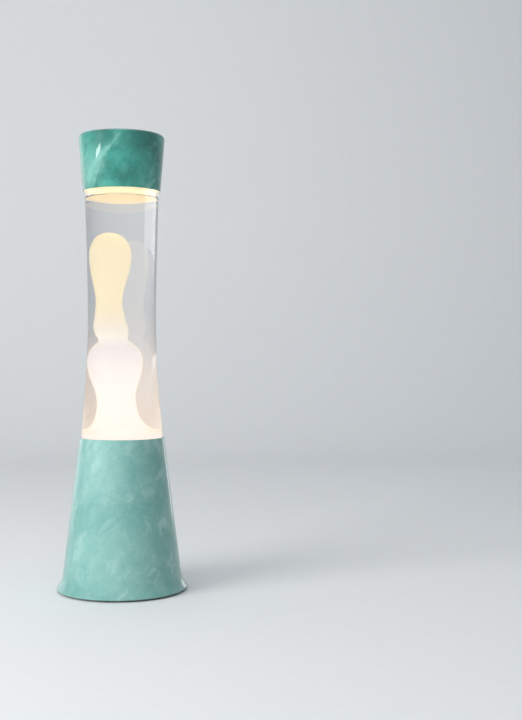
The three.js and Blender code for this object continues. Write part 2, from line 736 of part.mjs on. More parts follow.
// The support wires rise from the stem and carry the filament between their tips.
function filament() {
  const start = stemTop + GAP + FILAMENT_WIRE;
  const rise = 15;
  const half = 7;
  const points = [
    v3(-1, 0, start),
    v3(-half * 0.6, 0, start + rise * 0.5),
    v3(-half, 0, start + rise),
    v3(-half * 0.5, 0, start + rise + 1.6),
    v3(0, 0, start + rise + 0.6),
    v3(half * 0.5, 0, start + rise + 1.6),
    v3(half, 0, start + rise),
    v3(half * 0.6, 0, start + rise * 0.5),
    v3(1, 0, start),
  ];
  return wire(points, FILAMENT_WIRE, 28, 6);
}
add("bulb_filament", filament(), tungsten);

// ---- Terminal block, its screws and the leads ----------------------------------------------------------

const blockBottom = plateTop + GAP;
const blockTop = blockBottom + BLOCK_HEIGHT;
const wayHeight = blockBottom + BLOCK_HEIGHT * 0.45;
const ways = [-1, 0, 1].map((k) => k * WAY_PITCH);
const blockFront = BLOCK_BEHIND_AXIS - BLOCK_DEPTH / 2;
const wayScrewDepth = 3;

function terminalBlock() {
  const body = new THREE.BoxGeometry(BLOCK_WIDTH, BLOCK_DEPTH, BLOCK_HEIGHT);
  body.translate(0, BLOCK_BEHIND_AXIS, blockBottom + BLOCK_HEIGHT / 2);
  const grooves = [-1, 1].map((k) => {
    const groove = new THREE.BoxGeometry(1.6, BLOCK_DEPTH + 1, BLOCK_HEIGHT * 0.5);
    return groove.translate((k * WAY_PITCH) / 2, BLOCK_BEHIND_AXIS, blockTop);
  });
  const bores = ways.map((x) => rod(v3(x, blockFront - 1, wayHeight), v3(x, blockFront + BLOCK_DEPTH + 1, wayHeight), WAY_BORE));
  const pockets = ways.map((x) =>
    disc(2.3, blockTop - wayScrewDepth - GAP, blockTop + 1, TINY_SEGMENTS).translate(x, BLOCK_BEHIND_AXIS, 0),
  );
  const fixing = [
    disc(blockScrewRadius + GAP, blockBottom - 1, blockTop, TINY_SEGMENTS),
    disc(2.6, blockBottom + 2.4, blockTop, TINY_SEGMENTS),
  ].map((hole) => hole.translate(blockScrew.x, blockScrew.y, 0));
  return cut(body, [...grooves, ...bores, ...pockets, ...fixing]);
}
add("terminal_block", terminalBlock(), whitePlastic);

const wayNames = ["live", "neutral", "earth"];
ways.forEach((x, i) => {
  const clamp = add(`terminal_screw_${wayNames[i]}`, screw(0.8, 1.2, 2, 1.6), brass);
  clamp.rotation.x = Math.PI;
  clamp.position.set(x, BLOCK_BEHIND_AXIS, blockTop - 1.6);
});

const blockHold = add("block_fixing_screw", screw(2.4, blockScrewRadius, 2.2, 1.4), zincSteel);
blockHold.rotation.x = Math.PI;
blockHold.position.set(blockScrew.x, blockScrew.y, blockBottom + 2.4 + GAP);

// Both supply leads rise through the nipple into the holder's chamber.
const leadSide = NIPPLE_BORE - LEAD_RADIUS - 1.1;
function supplyLead(x, side) {
  const end = nippleTop + CONTACT_ROOM * 0.75;
  const points = [
    v3(x, blockFront + LEAD_IN_BLOCK, wayHeight),
    v3(x, blockFront - 3, wayHeight),
    v3(x * 0.8 + side * leadSide * 0.2, blockFront * 0.6, wayHeight),
    v3(side * leadSide * 1.4, blockFront * 0.2, wayHeight + 0.6),
    v3(side * leadSide, 0.4, nippleBottom - 1.5),
    v3(side * leadSide, 0, nippleBottom + 4),
    v3(side * leadSide, 0, end),
  ];
  return wire(points, LEAD_RADIUS);
}
add("lead_live", supplyLead(ways[0], -1), brownLead);
add("lead_neutral", supplyLead(ways[1], 1), blueLead);

// The earth lead ends in a ring tag under a screw on the bridge's leg.
const legFace = BRIDGE_SPAN / 2;
const tagSheet = 0.8;
const tagFace = legFace + GAP;
function earthLeadPath() {
  const x = tagFace + tagSheet + GAP + LEAD_RADIUS;
  return [
    v3(ways[2], blockFront + LEAD_IN_BLOCK, wayHeight),
    v3(ways[2], blockFront - 1, wayHeight),
    v3(ways[2] + 0.4, blockFront - 3, wayHeight),
    v3(ways[2] + (x - ways[2]) * 0.5, blockFront - 7, wayHeight + 0.5),
    v3(x, blockFront * 0.52, earthHeight - 1),
    v3(x, 5.2, earthHeight),
  ];
}
add("lead_earth", wire(earthLeadPath(), LEAD_RADIUS, 16), earthLead);

function ringTag() {
  const shape = new THREE.Shape();
  shape.absarc(0, 0, 3.4, 0.45, fullTurn - 0.45);
  shape.lineTo(9, -1.4);
  shape.lineTo(9, 1.4);
  shape.holes.push(circleHole(0, 0, plateHole));
  const tag = new THREE.ExtrudeGeometry(shape, { depth: tagSheet, bevelEnabled: false, curveSegments: 10 });
  tag.rotateX(Math.PI / 2).rotateZ(Math.PI / 2);
  return tag.translate(tagFace, 0, earthHeight);
}
add("earth_tag", ringTag(), brass);

const earthScrew = add("earth_screw", screw(BRIDGE_SHEET + tagSheet + 2, SCREW_RADIUS, 2.7, 1.6), zincSteel);
earthScrew.rotation.y = -Math.PI / 2;
earthScrew.position.set(tagFace + tagSheet + GAP, 0, earthHeight);

// ---- Bottle --------------------------------------------------------------------------------------------

const handle = (share, span) => share * span;

// The bottle's outside from the middle of its foot up to the neck's top.
function bottleOutside() {
  const low = WAIST_HEIGHT - mouthHeight;
  const high = shoulderBottom - WAIST_HEIGHT;
  const third = 1 / 3;
  const path = new THREE.Path();
  path.moveTo(0, bottleBottom);
  path.lineTo(glassFootRadius - FOOT_EDGE_RADIUS, bottleBottom);
  path.absarc(
    glassFootRadius - FOOT_EDGE_RADIUS,
    bottleBottom + FOOT_EDGE_RADIUS,
    FOOT_EDGE_RADIUS,
    -Math.PI / 2,
    0,
  );
  path.lineTo(glassMouthRadius, mouthHeight);
  path.bezierCurveTo(
    glassMouthRadius - GLASS_FLARE_LOW * handle(third, low),
    mouthHeight + handle(third, low),
    WAIST_RADIUS,
    WAIST_HEIGHT - handle(third, low),
    WAIST_RADIUS,
    WAIST_HEIGHT,
  );
  path.bezierCurveTo(
    WAIST_RADIUS,
    WAIST_HEIGHT + handle(third, high),
    glassTopRadius - GLASS_FLARE_HIGH * handle(third, high),
    shoulderBottom - handle(third, high),
    glassTopRadius,
    shoulderBottom,
  );
  path.bezierCurveTo(
    glassTopRadius,
    shoulderBottom + SHOULDER_RISE * 0.7,
    NECK_RADIUS,
    shoulderTop - SHOULDER_RISE * 0.35,
    NECK_RADIUS,
    shoulderTop,
  );
  return path.getPoints(4);
}

const glassOutside = bottleOutside();

// The inside follows the outside at the wall's thickness, from the floor up to the neck's bore.
function bottleInside() {
  const side = beside(glassOutside, GLASS_WALL).filter(
    (p) => p.y > floorTop + FOOT_EDGE_RADIUS && p.x > NECK_BORE + 1 && p.y < shoulderTop - 2,
  );
  const floorRadius = glassFootRadius - GLASS_WALL;
  const corner = arc(at(floorRadius - FOOT_EDGE_RADIUS, floorTop + FOOT_EDGE_RADIUS), FOOT_EDGE_RADIUS, -Math.PI / 2, 0, 3);
  return [at(0, floorTop), ...corner, ...side, at(NECK_BORE, shoulderTop - 1)];
}

const glassInside = bottleInside();

function glassBottle() {
  const neck = [
    at(NECK_RADIUS, neckTop - 4.4),
    at(NECK_RADIUS + NECK_BEAD, neckTop - 3.4),
    at(NECK_RADIUS + NECK_BEAD, neckTop - 1),
    at(NECK_RADIUS, neckTop),
    at(NECK_BORE, neckTop),
  ];
  return turned([...glassOutside, ...neck, ...[...glassInside].reverse()]);
}
add("glass_bottle", glassBottle(), clearGlass);

// A crown closure: a disc whose skirt is fluted where it grips the neck's bead.
function crownClosure() {
  const underTop = neckTop + GAP + LINER_THICKNESS + GAP;
  const top = underTop + CLOSURE_SHEET;
  const skirtBottom = top - CLOSURE_HEIGHT;
  const inner = NECK_RADIUS + NECK_BEAD + GAP;
  const grip = inner + CLOSURE_FLUTE_DEPTH;
  const outer = grip + CLOSURE_SHEET;
  const body = turned(
    [
      at(0, top),
      at(outer - 1.6, top),
      at(outer, top - 1.8),
      at(outer + 0.9, skirtBottom),
      at(grip + 0.9, skirtBottom),
      at(grip, top - 2.2),
      at(inner - 1, underTop),
      at(0, underTop),
    ],
    CLOSURE_FLUTES * 2,
  );
  const flutes = spread(CLOSURE_FLUTES, 0).map((angle) => {
    const x = (outer + 1.3) * Math.cos(angle);
    const y = (outer + 1.3) * Math.sin(angle);
    return rod(v3(x, y, skirtBottom - 1), v3(x, y, top - 2), 0.7, 6);
  });
  return cut(body, flutes);
}
add("crown_closure", crownClosure(), tinPlate);
add("closure_liner", disc(NECK_RADIUS - 0.5, neckTop + GAP, neckTop + GAP + LINER_THICKNESS), whitePlastic);

// ---- Wax, liquid and coil ------------------------------------------------------------------------------

// The radius inside the bottle at a height.
function boreAt(z) {
  const line = [...glassInside].reverse();
  return radiusAt(line, z);
}

// The wax column: height and radius as shares of the visible column and of the bore, and how far its middle
// leans to the left. It rises from the pool as a mound, then a low drop, a neck and a high drop.
const columnFoot = mouthHeight + 2.5;
const columnHeight = liquidLevel - columnFoot;
const waxStations = [
  { rise: 0.0, share: 0.985, lean: 0.0 },
  { rise: 0.02, share: 0.62, lean: 0.06 },
  { rise: 0.055, share: 0.5, lean: 0.09 },
  { rise: 0.12, share: 0.425, lean: 0.12 },
  { rise: 0.17, share: 0.44, lean: 0.14 },
  { rise: 0.25, share: 0.6, lean: 0.17 },
  { rise: 0.31, share: 0.655, lean: 0.175 },
  { rise: 0.36, share: 0.58, lean: 0.175 },
  { rise: 0.393, share: 0.35, lean: 0.2 },
  { rise: 0.425, share: 0.41, lean: 0.25 },
  { rise: 0.46, share: 0.41, lean: 0.28 },
  { rise: 0.55, share: 0.32, lean: 0.315 },
  { rise: 0.66, share: 0.43, lean: 0.3 },
  { rise: 0.755, share: 0.51, lean: 0.28 },
  { rise: 0.81, share: 0.43, lean: 0.285 },
  { rise: 0.84, share: 0.26, lean: 0.29 },
];
const waxTopRise = 0.85;

function waxRings() {
  const bottom = floorTop + FILL_GAP;
  const corner = FOOT_EDGE_RADIUS;
  const rings = [
    { z: bottom, r: boreAt(floorTop + corner) - corner - FILL_GAP, x: 0 },
    { z: bottom + corner, r: boreAt(floorTop + corner) - FILL_GAP, x: 0 },
    { z: mouthHeight, r: boreAt(mouthHeight) - FILL_GAP, x: 0 },
  ];
  for (const { rise, share, lean } of waxStations) {
    const z = columnFoot + rise * columnHeight;
    const bore = boreAt(z) - FILL_GAP;
    rings.push({ z, r: share * bore, x: -lean * bore });
  }
  return rings;
}

// A closed body through level rings of points, closed by a point at each end.
function lofted(rings, lowPoint, highPoint, sides) {
  const positions = [lowPoint.x, lowPoint.y, lowPoint.z];
  for (const { z, r, x } of rings) {
    for (const angle of spread(sides, 0)) {
      positions.push(x + r * Math.cos(angle), r * Math.sin(angle), z);
    }
  }
  positions.push(highPoint.x, highPoint.y, highPoint.z);
  const top = positions.length / 3 - 1;
  const index = [];
  const corner = (ringIndex, side) => 1 + ringIndex * sides + (side % sides);
  for (let s = 0; s < sides; s += 1) {
    index.push(0, corner(0, s + 1), corner(0, s));
    for (let k = 0; k + 1 < rings.length; k += 1) {
      index.push(corner(k, s), corner(k, s + 1), corner(k + 1, s + 1));
      index.push(corner(k, s), corner(k + 1, s + 1), corner(k + 1, s));
    }
    index.push(corner(rings.length - 1, s), corner(rings.length - 1, s + 1), top);
  }
  const geometry = new THREE.BufferGeometry();
  geometry.setAttribute("position", new THREE.Float32BufferAttribute(positions, 3));
  geometry.setIndex(index);
  return geometry;
}

// The wax with its surface moved out by a margin, so that what surrounds it can be cut clear.
function waxBody(margin) {
  const rings = waxRings();
  const side = beside(rings.map((level) => at(level.r, level.z)), -margin);
  const grown = rings.map((level, i) => ({ r: side[i].x, z: side[i].y, x: level.x }));
  const low = v3(0, 0, grown[0].z);
  const high = v3(rings[rings.length - 1].x, 0, columnFoot + waxTopRise * columnHeight + margin);
  return lofted(grown, low, high, ROUND_SEGMENTS);
}

// The coil lies on the bottle's floor in a groove in the wax.
const coilHeight = floorTop + FILL_GAP + COIL_THICKNESS / 2;
function coilBody(margin) {
  const radius = COIL_THICKNESS / 2 + margin;
  const outline = arc(at(COIL_RADIUS, coilHeight), radius, 0, fullTurn, 10).slice(0, -1);
  return turned(outline, 24);
}
add("heat_coil", coilBody(0), zincSteel);

function coilGroove() {
  const half = COIL_THICKNESS / 2 + FILL_GAP;
  return ring(COIL_RADIUS - half, COIL_RADIUS + half, floorTop - 1, coilHeight + half, 24);
}
add("wax", cut(waxBody(0), [coilGroove()]), creamWax);

// Wax that has risen spreads out in a lens under the liquid's surface. A margin moves all but its top outwards.
function waxLens(margin, top = liquidLevel) {
  const radius = (boreAt(liquidLevel) - FILL_GAP) * LENS_SHARE;
  const steps = 5;
  const underside = Array.from({ length: steps + 1 }, (_, i) => {
    const share = i / steps;
    const depth = LENS_EDGE + (LENS_MIDDLE - LENS_EDGE) * (1 - share * share);
    return at(share * (radius + margin), liquidLevel - depth - margin);
  });
  return turned([...underside, at(radius + margin, top), at(0, top)]);
}
add("wax_lens", waxLens(0), creamWax);

// The liquid fills the bottle over the wax pool, up to its level, round the wax column and the lens.
function liquidBody() {
  const low = columnFoot + FILL_GAP;
  const wall = [];
  for (const p of glassInside) {
    if (p.y > low + 1 && p.y < liquidLevel - 1 && p.x > NECK_BORE) wall.push(at(p.x - FILL_GAP, p.y));
  }
  const outline = [
    at(0, low),
    at(boreAt(low) - FILL_GAP, low),
    ...wall,
    at(boreAt(liquidLevel) - FILL_GAP, liquidLevel),
    at(0, liquidLevel),
  ];
  return cut(turned(outline), [waxBody(FILL_GAP), waxLens(FILL_GAP, liquidLevel + 1)]);
}
add("liquid", liquidBody(), clearLiquid);

// ---- Cap -----------------------------------------------------------------------------------------------

const capSlope = (CAP_TOP_RADIUS - CAP_BOTTOM_RADIUS) / CAP_HEIGHT;

function capShell() {
  const edge = at(CAP_TOP_RADIUS - CAP_EDGE_RADIUS, OVERALL_HEIGHT - CAP_EDGE_RADIUS);
  const outer = [at(CAP_BOTTOM_RADIUS, capBottom), ...arc(edge, CAP_EDGE_RADIUS, 0, Math.PI / 2, 5)];
  const inner = [
    at(CAP_BOTTOM_RADIUS - SHEET, capBottom),
    ...arc(edge, CAP_EDGE_RADIUS - SHEET, 0, Math.PI / 2, 5),
  ];
  const centre = [at(0, OVERALL_HEIGHT), at(0, OVERALL_HEIGHT - SHEET)];
  return turned([centre[1], ...inner.reverse(), ...outer, centre[0]]);
}
add("cap_shell", capShell(), marbledCap);

// The height of the bottle's shoulder at a radius.
function shoulderHeightAt(radius) {
  const i = glassOutside.findIndex((p) => p.y > shoulderBottom && p.x <= radius);
  const [a, b] = [glassOutside[i - 1], glassOutside[i]];
  return a.y + ((b.y - a.y) * (radius - a.x)) / (b.x - a.x);
}

// A moulded ring inside the cap: its collar stands on the bottle's shoulder and its rim keeps the cap centred.
function capInsert() {
  const inner = INSERT_COLLAR_RADIUS - INSERT_SHEET;
  const rest = shoulderHeightAt(inner) + GAP;
  const deck = Math.max(rest + 6, shoulderTop + 2);
  const innerRadiusAt = (z) => CAP_BOTTOM_RADIUS - SHEET + capSlope * (z - capBottom);
  const rim = innerRadiusAt(deck) - GAP;
  const hole = NECK_RADIUS + NECK_BEAD + CLOSURE_FLUTE_DEPTH + CLOSURE_SHEET + 2.6;
  const outline = [
    at(inner, rest),
    at(INSERT_COLLAR_RADIUS, rest),
    at(INSERT_COLLAR_RADIUS, deck),
    at(rim, deck),
    at(innerRadiusAt(deck + 6) - GAP, deck + 6),
    at(innerRadiusAt(deck + 6) - GAP - INSERT_SHEET, deck + 6),
    at(rim - INSERT_SHEET, deck + INSERT_SHEET),
    at(hole, deck + INSERT_SHEET),
    at(hole, deck),
    at(inner, deck),
  ];
  return turned(outline, 28);
}
add("cap_insert", capInsert(), whitePlastic);

export default lamp;
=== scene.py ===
"""A lava lamp: marbled metal base and cap, a waisted glass bottle of liquid, and a rising column of wax."""

import math

import bmesh
import bpy
from bpy.props import FloatProperty, FloatVectorProperty, IntProperty, PointerProperty
from mathutils import Matrix, Vector


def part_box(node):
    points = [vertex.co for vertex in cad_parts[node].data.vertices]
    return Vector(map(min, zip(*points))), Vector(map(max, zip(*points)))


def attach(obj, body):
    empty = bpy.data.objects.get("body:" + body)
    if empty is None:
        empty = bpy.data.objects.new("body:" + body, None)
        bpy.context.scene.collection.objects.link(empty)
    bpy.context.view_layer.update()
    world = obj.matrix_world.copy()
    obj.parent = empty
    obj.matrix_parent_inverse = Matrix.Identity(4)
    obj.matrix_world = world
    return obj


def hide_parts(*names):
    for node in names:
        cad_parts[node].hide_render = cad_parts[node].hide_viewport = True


bl_info = {
    "name": "Lava lamp",
    "version": (1, 0, 0),
    "blender": (4, 5, 0),
    "location": "View3D > Sidebar > Lava Lamp",
    "description": "Makes the shells, bottle, wax and fittings of a lava lamp round its frame",
    "category": "Object",
}

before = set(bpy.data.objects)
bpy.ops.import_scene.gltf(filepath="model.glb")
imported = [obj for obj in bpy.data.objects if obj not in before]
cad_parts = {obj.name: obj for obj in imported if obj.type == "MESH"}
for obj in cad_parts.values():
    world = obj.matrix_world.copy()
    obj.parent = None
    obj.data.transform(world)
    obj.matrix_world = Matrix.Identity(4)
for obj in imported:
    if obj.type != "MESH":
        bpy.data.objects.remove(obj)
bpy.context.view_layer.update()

MM = 0.001
TURN = 2 * math.pi
BLACK = (0.0, 0.0, 0.0)


def span(node):
    """The lowest and highest corner of a frame node, and its largest radius round the lamp's axis."""
    low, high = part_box(node)
    return low, high, max(high.x, high.y, -low.x, -low.y)


BASE_LOW, BASE_HIGH, RIM_RADIUS = span("base_shell")
CAP_LOW, CAP_HIGH, CAP_RADIUS = span("cap_shell")
BOTTLE_LOW, BOTTLE_HIGH, BOTTLE_RADIUS = span("glass_bottle")
LIQUID_LOW, LIQUID_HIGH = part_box("liquid")
WAX_LOW, WAX_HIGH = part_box("wax")


# ---- Sizes and colours a user can change ---------------------------------------------------------------


def length(name, description, metres):
    """A length property in metres."""
    return FloatProperty(
        name=name, description=description, default=metres, min=0.0, unit="LENGTH", precision=4
    )


def degrees(name, description, value):
    """An angle property, given in degrees."""
    return FloatProperty(
        name=name, description=description, default=math.radians(value), unit="ROTATION"
    )


def colour(name, description, rgb):
    """A colour property in linear light."""
    return FloatVectorProperty(
        name=name, description=description, default=rgb, size=3, min=0.0, max=1.0, subtype="COLOR"
    )


def share(name, description, value, top=1.0):
    """A plain number property."""
    return FloatProperty(name=name, description=description, default=value, min=0.0, max=top)


def power(name, description, watts):
    """A lamp's power in watts."""
    return FloatProperty(name=name, description=description, default=watts, min=0.0, unit="POWER")


class ShellSizes(bpy.types.PropertyGroup):
    """Sizes of the spun base shell and of the cap."""

    mouth_radius: length("Mouth radius", "Outside radius of the base at its mouth", 36.5 * MM)
    sheet: length("Sheet", "Thickness of the spun metal", 0.8 * MM)
    skirt_height: length("Skirt height", "Height of the flared skirt over the bead", 13 * MM)
    skirt_width: length("Skirt width", "How far the rim stands out from the cone's foot", 5.4 * MM)
    skirt_fall: degrees("Skirt fall", "Fall of the skirt's edge", 52)
    bead_radius: length("Bead radius", "Radius of the rolled bead at the rim", 1.3 * MM)
    cap_bottom_radius: length("Cap bottom radius", "Outside radius of the cap at its open end", 33.4 * MM)
    cap_edge_radius: length("Cap edge", "Rounding of the cap's top edge", 3.2 * MM)
    inlet_radius: length("Inlet radius", "Radius of the hole for the cord's grommet", 5.6 * MM)


class BottleSizes(bpy.types.PropertyGroup):
    """Sizes of the bottle and of what fills it."""

    wall: length("Wall", "Thickness of the glass", 2.2 * MM)
    floor: length("Floor", "Thickness of the bottle's floor", 3.8 * MM)
    foot_taper: length("Foot taper", "How much slimmer the foot is at its bottom", 1.0 * MM)
    foot_edge: length("Foot edge", "Rounding of the foot", 4.0 * MM)
    waist_radius: length("Waist radius", "Outside radius at the waist", 29.6 * MM)
    waist_height: length("Waist height", "Height of the waist over the table", 236 * MM)
    running_gap: length("Running gap", "Clearance between the glass and each shell", 0.4 * MM)
    flare_low: share("Flare at the mouth", "Slope of the glass at the base's mouth", 0.092)
    flare_high: share("Flare at the cap", "Slope of the glass at the cap's edge", 0.035)
    neck_radius: length("Neck radius", "Outside radius of the neck", 13 * MM)
    neck_bore: length("Neck bore", "Inside radius of the neck", 9.5 * MM)
    neck_bead: length("Neck bead", "How far the bead stands out from the neck", 1.2 * MM)
    shoulder_rise: length("Shoulder rise", "Height of the rounded shoulder", 12 * MM)
    shoulder_above_edge: length("Shoulder start", "Straight glass over the cap's edge", 4 * MM)
    lap: length("Lap", "How far the liquid laps into the glass, so that no air shows between", 0.3 * MM)
    fill_gap: length("Fill gap", "Clearance between the wax and the glass", 0.3 * MM)
    meniscus: length("Meniscus", "How far the liquid climbs the glass", 0.35 * MM)


class FittingSizes(bpy.types.PropertyGroup):
    """Sizes of the fittings in the base, under it and under the cap."""

    gap: length("Gap", "Clearance between fittings that touch", 0.3 * MM)
    edge: length("Edge", "Rounding of a small fitting's edges", 0.35 * MM)
    seat_radius: length("Seat radius", "Inside radius of the bottle's seat", 26.8 * MM)
    seat_sheet: length("Seat sheet", "Thickness of the seat's metal", 1.0 * MM)
    seat_lip: length("Seat lip", "Height of the turned-down lip", 4.0 * MM)
    grommet_bore: length("Grommet bore", "Inside radius of the grommet", 3.6 * MM)
    grommet_flange: length("Grommet flange", "Thickness of each flange", 1.4 * MM)
    grommet_radius: length("Grommet radius", "Outside radius of the flanges", 7.6 * MM)
    inner_taper: length("Inner taper", "How much slimmer the inner flange ends", 0.4 * MM)
    outer_taper: length("Outer taper", "How much slimmer the outer flange ends", 0.9 * MM)
    foot_hollow: length("Foot hollow", "Depth of the hollow under a foot", 0.5 * MM)
    thread_pitch: length("Screw pitch", "Pitch of the small screws", 0.7 * MM)
    thread_depth: length("Screw thread depth", "Depth of the small screws' thread", 0.2 * MM)
    bulb_pitch: length("Bulb thread pitch", "Pitch of the bulb's thread", 2.82 * MM)
    bulb_thread: length("Bulb thread depth", "Depth of the bulb's thread", 0.45 * MM)
    bulb_sheet: length("Bulb cap sheet", "Thickness of the bulb's screw cap", 0.35 * MM)
    bulb_neck: length("Bulb neck", "Radius of the bulb's neck", 8.6 * MM)
    bulb_wall: length("Bulb wall", "Thickness of the bulb's glass", 0.8 * MM)
    bulb_face: length("Bulb face", "Height of the bulb's rounded face", 9.0 * MM)
    socket_sheet: length("Socket sheet", "Thickness of the holder's threaded shell", 0.4 * MM)
    socket_thread: length("Socket thread depth", "Depth of the holder's thread", 0.2 * MM)
    holder_head: length("Holder head", "Height of the holder's wider upper part", 14 * MM)
    holder_step: length("Holder step", "How far that part stands out", 1.5 * MM)
    holder_room: length("Holder room", "Clearance round the bulb's neck in the holder", 1.6 * MM)
    holder_edge: length("Holder edge", "Rounding of the holder's edges", 0.7 * MM)
    nipple_pitch: length("Nipple pitch", "Pitch of the nipple's thread", 1.0 * MM)
    nipple_thread: length("Nipple thread depth", "Depth of the nipple's thread", 0.35 * MM)
    holder_wall: length("Holder wall", "Thickness of the lamp holder's wall", 2.2 * MM)
    holder_shelf: length("Holder shelf", "Thickness of the wall that carries the contacts", 1.6 * MM)
    contact_bore: length("Contact bore", "Radius of the hole for the contact", 4.6 * MM)
    nipple_bore: length("Nipple bore", "Inside radius of the threaded nipple", 3.9 * MM)
    closure_sheet: length("Closure sheet", "Thickness of the crown closure", 0.4 * MM)
    closure_top: length("Closure top", "How much slimmer the crown closure is at its top", 1.0 * MM)
    closure_drop: length("Closure drop", "Height of the crown closure's rounded edge", 2.0 * MM)
    closure_flutes: IntProperty(
        name="Flutes", description="Flutes round the crown closure", default=21, min=3
    )
    flute_depth: length("Flute depth", "Depth of the crown closure's flutes", 0.9 * MM)
    collar_radius: length("Collar radius", "Outside radius of the insert's collar", 24 * MM)
    insert_sheet: length("Insert sheet", "Thickness of the cap's insert", 1.6 * MM)
    insert_rim: length("Insert rim", "Height of the insert's turned-up rim", 6.0 * MM)
    insert_hole: length("Insert hole", "Radius of the insert's hole", 17.7 * MM)
    coil_wire: length("Coil wire", "Radius of the heat coil's wire", 0.45 * MM)
    coil_turns: IntProperty(name="Coil turns", description="Turns of the heat coil", default=64, min=3)


class LampColours(bpy.types.PropertyGroup):
    """Colours of the enamel, the wax and the liquid, and of the painted glows on the wax, the liquid, the
    glass over it and the cap's inside.
    """

    base_deep: colour("Base deep", "Deepest enamel of the base", (0.145, 0.36, 0.32))
    base_mid: colour("Base middle", "Middle enamel of the base", (0.21, 0.43, 0.385))
    base_pale: colour("Base pale", "Cloudy patches of the base", (0.50, 0.70, 0.655))
    cap_deep: colour("Cap deep", "Deepest enamel of the cap", (0.018, 0.15, 0.12))
    cap_mid: colour("Cap middle", "Middle enamel of the cap", (0.045, 0.30, 0.24))
    cap_pale: colour("Cap pale", "Pale streaks of the cap", (0.20, 0.47, 0.40))
    wax_body: colour("Wax", "Wax in plain light", (0.86, 0.78, 0.62))
    # Painted light: the wax's glow colours and strength stand in for the bulb's light in the wax, on the
    # column and the floating wax; wax_rim is a painted rim glow where the wax turns away.
    wax_warm: colour("Wax glow, high", "Glow of the wax far from the bulb", (1.0, 0.855, 0.55))
    wax_hot: colour("Wax glow, low", "Glow of the wax next to the bulb", (0.82, 0.82, 0.89))
    wax_top: colour("Wax glow, floating", "Glow of the wax that floats at the top", (1.0, 0.76, 0.40))
    wax_rim: colour("Wax glow, rim", "Glow of the wax where it turns away", (0.95, 0.77, 0.47))
    wax_glow: share("Wax glow strength", "How strongly the wax glows", 0.84, 10.0)
    # Painted light: the glow of the glass over the liquid stands in for the floating wax's light seen there.
    headspace_glow: share("Headspace glow", "How strongly the glass over the liquid glows", 0.3, 10.0)
    liquid_tint: colour("Liquid", "Tint of the liquid", (0.94, 0.915, 0.915))
    # Painted light: the liquid's glow colours and strength stand in for the bulb's light scattered in the
    # liquid.
    liquid_high: colour("Liquid glow, high", "Glow of the liquid at its top", (0.04, 0.035, 0.04))
    liquid_low: colour("Liquid glow, low", "Glow of the liquid by the bulb", (0.44, 0.25, 0.10))
    liquid_glow: share("Liquid glow strength", "How strongly the liquid glows", 0.38, 10.0)


class StudioSizes(bpy.types.PropertyGroup):
    """Places of the camera and of the lights."""

    eye_distance: length("Eye distance", "Distance of the camera in front of the lamp", 1.0)
    eye_height: length("Eye height", "Height of the camera over the table", 0.211)
    lens: FloatProperty(name="Lens", description="Focal length in millimetres", default=56.9)
    pan: degrees("Pan", "Turn of the camera to the lamp's right", 6.96)
    tilt: degrees("Tilt", "Downward tilt of the camera", 0.63)
    wall_distance: length("Wall distance", "Distance of the backdrop behind the lamp", 1.6)
    key_power: power("Key power", "Power of the softbox on the left", 17.5)
    fill_power: power("Fill power", "Power of the soft light in front", 8.0)
    top_power: power("Top power", "Power of the soft light overhead", 6.0)
    edge_power: power("Edge power", "Power of the panel that draws the left edge", 0.5)
    rim_power: power("Right edge power", "Power of the panel that draws the base's right edge", 0.5)
    strip_power: power("Glass panel power", "Power of the panel that shines in the glass on the right", 1.2)
    window_power: power("Window power", "Power of the small panel that shines on the cap", 0.22)
    surround: share("Surround", "Strength of the light from all round", 0.42, 5.0)


class LavaLamp(bpy.types.PropertyGroup):
    """All that can be set on the lamp."""

    shells: PointerProperty(type=ShellSizes)
    bottle: PointerProperty(type=BottleSizes)
    fittings: PointerProperty(type=FittingSizes)
    colours: PointerProperty(type=LampColours)
    studio: PointerProperty(type=StudioSizes)
    sides: IntProperty(name="Sides", description="Sides of a turned piece", default=160, min=24)


# ---- Outlines in (radius, height) ----------------------------------------------------------------------


def at(radius, height):
    """A point of an outline."""
    return Vector((radius, height))


def arc(centre, radius, start, end, steps):
    """Points on a circular arc, with its angles from outwards."""
    angles = [start + (end - start) * i / steps for i in range(steps + 1)]
    return [centre + radius * at(math.cos(a), math.sin(a)) for a in angles]


def bezier(a, b, c, d, steps):
    """Points on a cubic curve after its first point."""
    out = []
    for i in range(1, steps + 1):
        t = i / steps
        s = 1 - t
        out.append(a * s**3 + b * 3 * s * s * t + c * 3 * s * t * t + d * t**3)
    return out


def beside(points, distance):
    """The line moved to its left by a distance as it runs."""
    out = []
    for i, p in enumerate(points):
        along = (points[min(i + 1, len(points) - 1)] - points[max(i - 1, 0)]).normalized()
        out.append(at(p.x - along.y * distance, p.y + along.x * distance))
    return out


def smooth_through(points, steps):
    """A rounded line through points, with even parameter steps between each two."""
    ends = [points[0] * 2 - points[1], *points, at(-points[-2].x, points[-2].y)]
    out = []
    for p0, p1, p2, p3 in zip(ends, ends[1:], ends[2:], ends[3:]):
        knots = [0.0]
        for u, v in ((p0, p1), (p1, p2), (p2, p3)):
            knots.append(knots[-1] + max((v - u).length, 1e-7) ** 0.5)
        t0, t1, t2, t3 = knots
        for i in range(steps):
            t = t1 + (t2 - t1) * i / steps
            a1 = p0 * ((t1 - t) / (t1 - t0)) + p1 * ((t - t0) / (t1 - t0))
            a2 = p1 * ((t2 - t) / (t2 - t1)) + p2 * ((t - t1) / (t2 - t1))
            a3 = p2 * ((t3 - t) / (t3 - t2)) + p3 * ((t - t2) / (t3 - t2))
            b1 = a1 * ((t2 - t) / (t2 - t0)) + a2 * ((t - t0) / (t2 - t0))
            b2 = a2 * ((t3 - t) / (t3 - t1)) + a3 * ((t - t1) / (t3 - t1))
            out.append(b1 * ((t2 - t) / (t2 - t1)) + b2 * ((t - t1) / (t2 - t1)))
    out.append(points[-1])
    return out


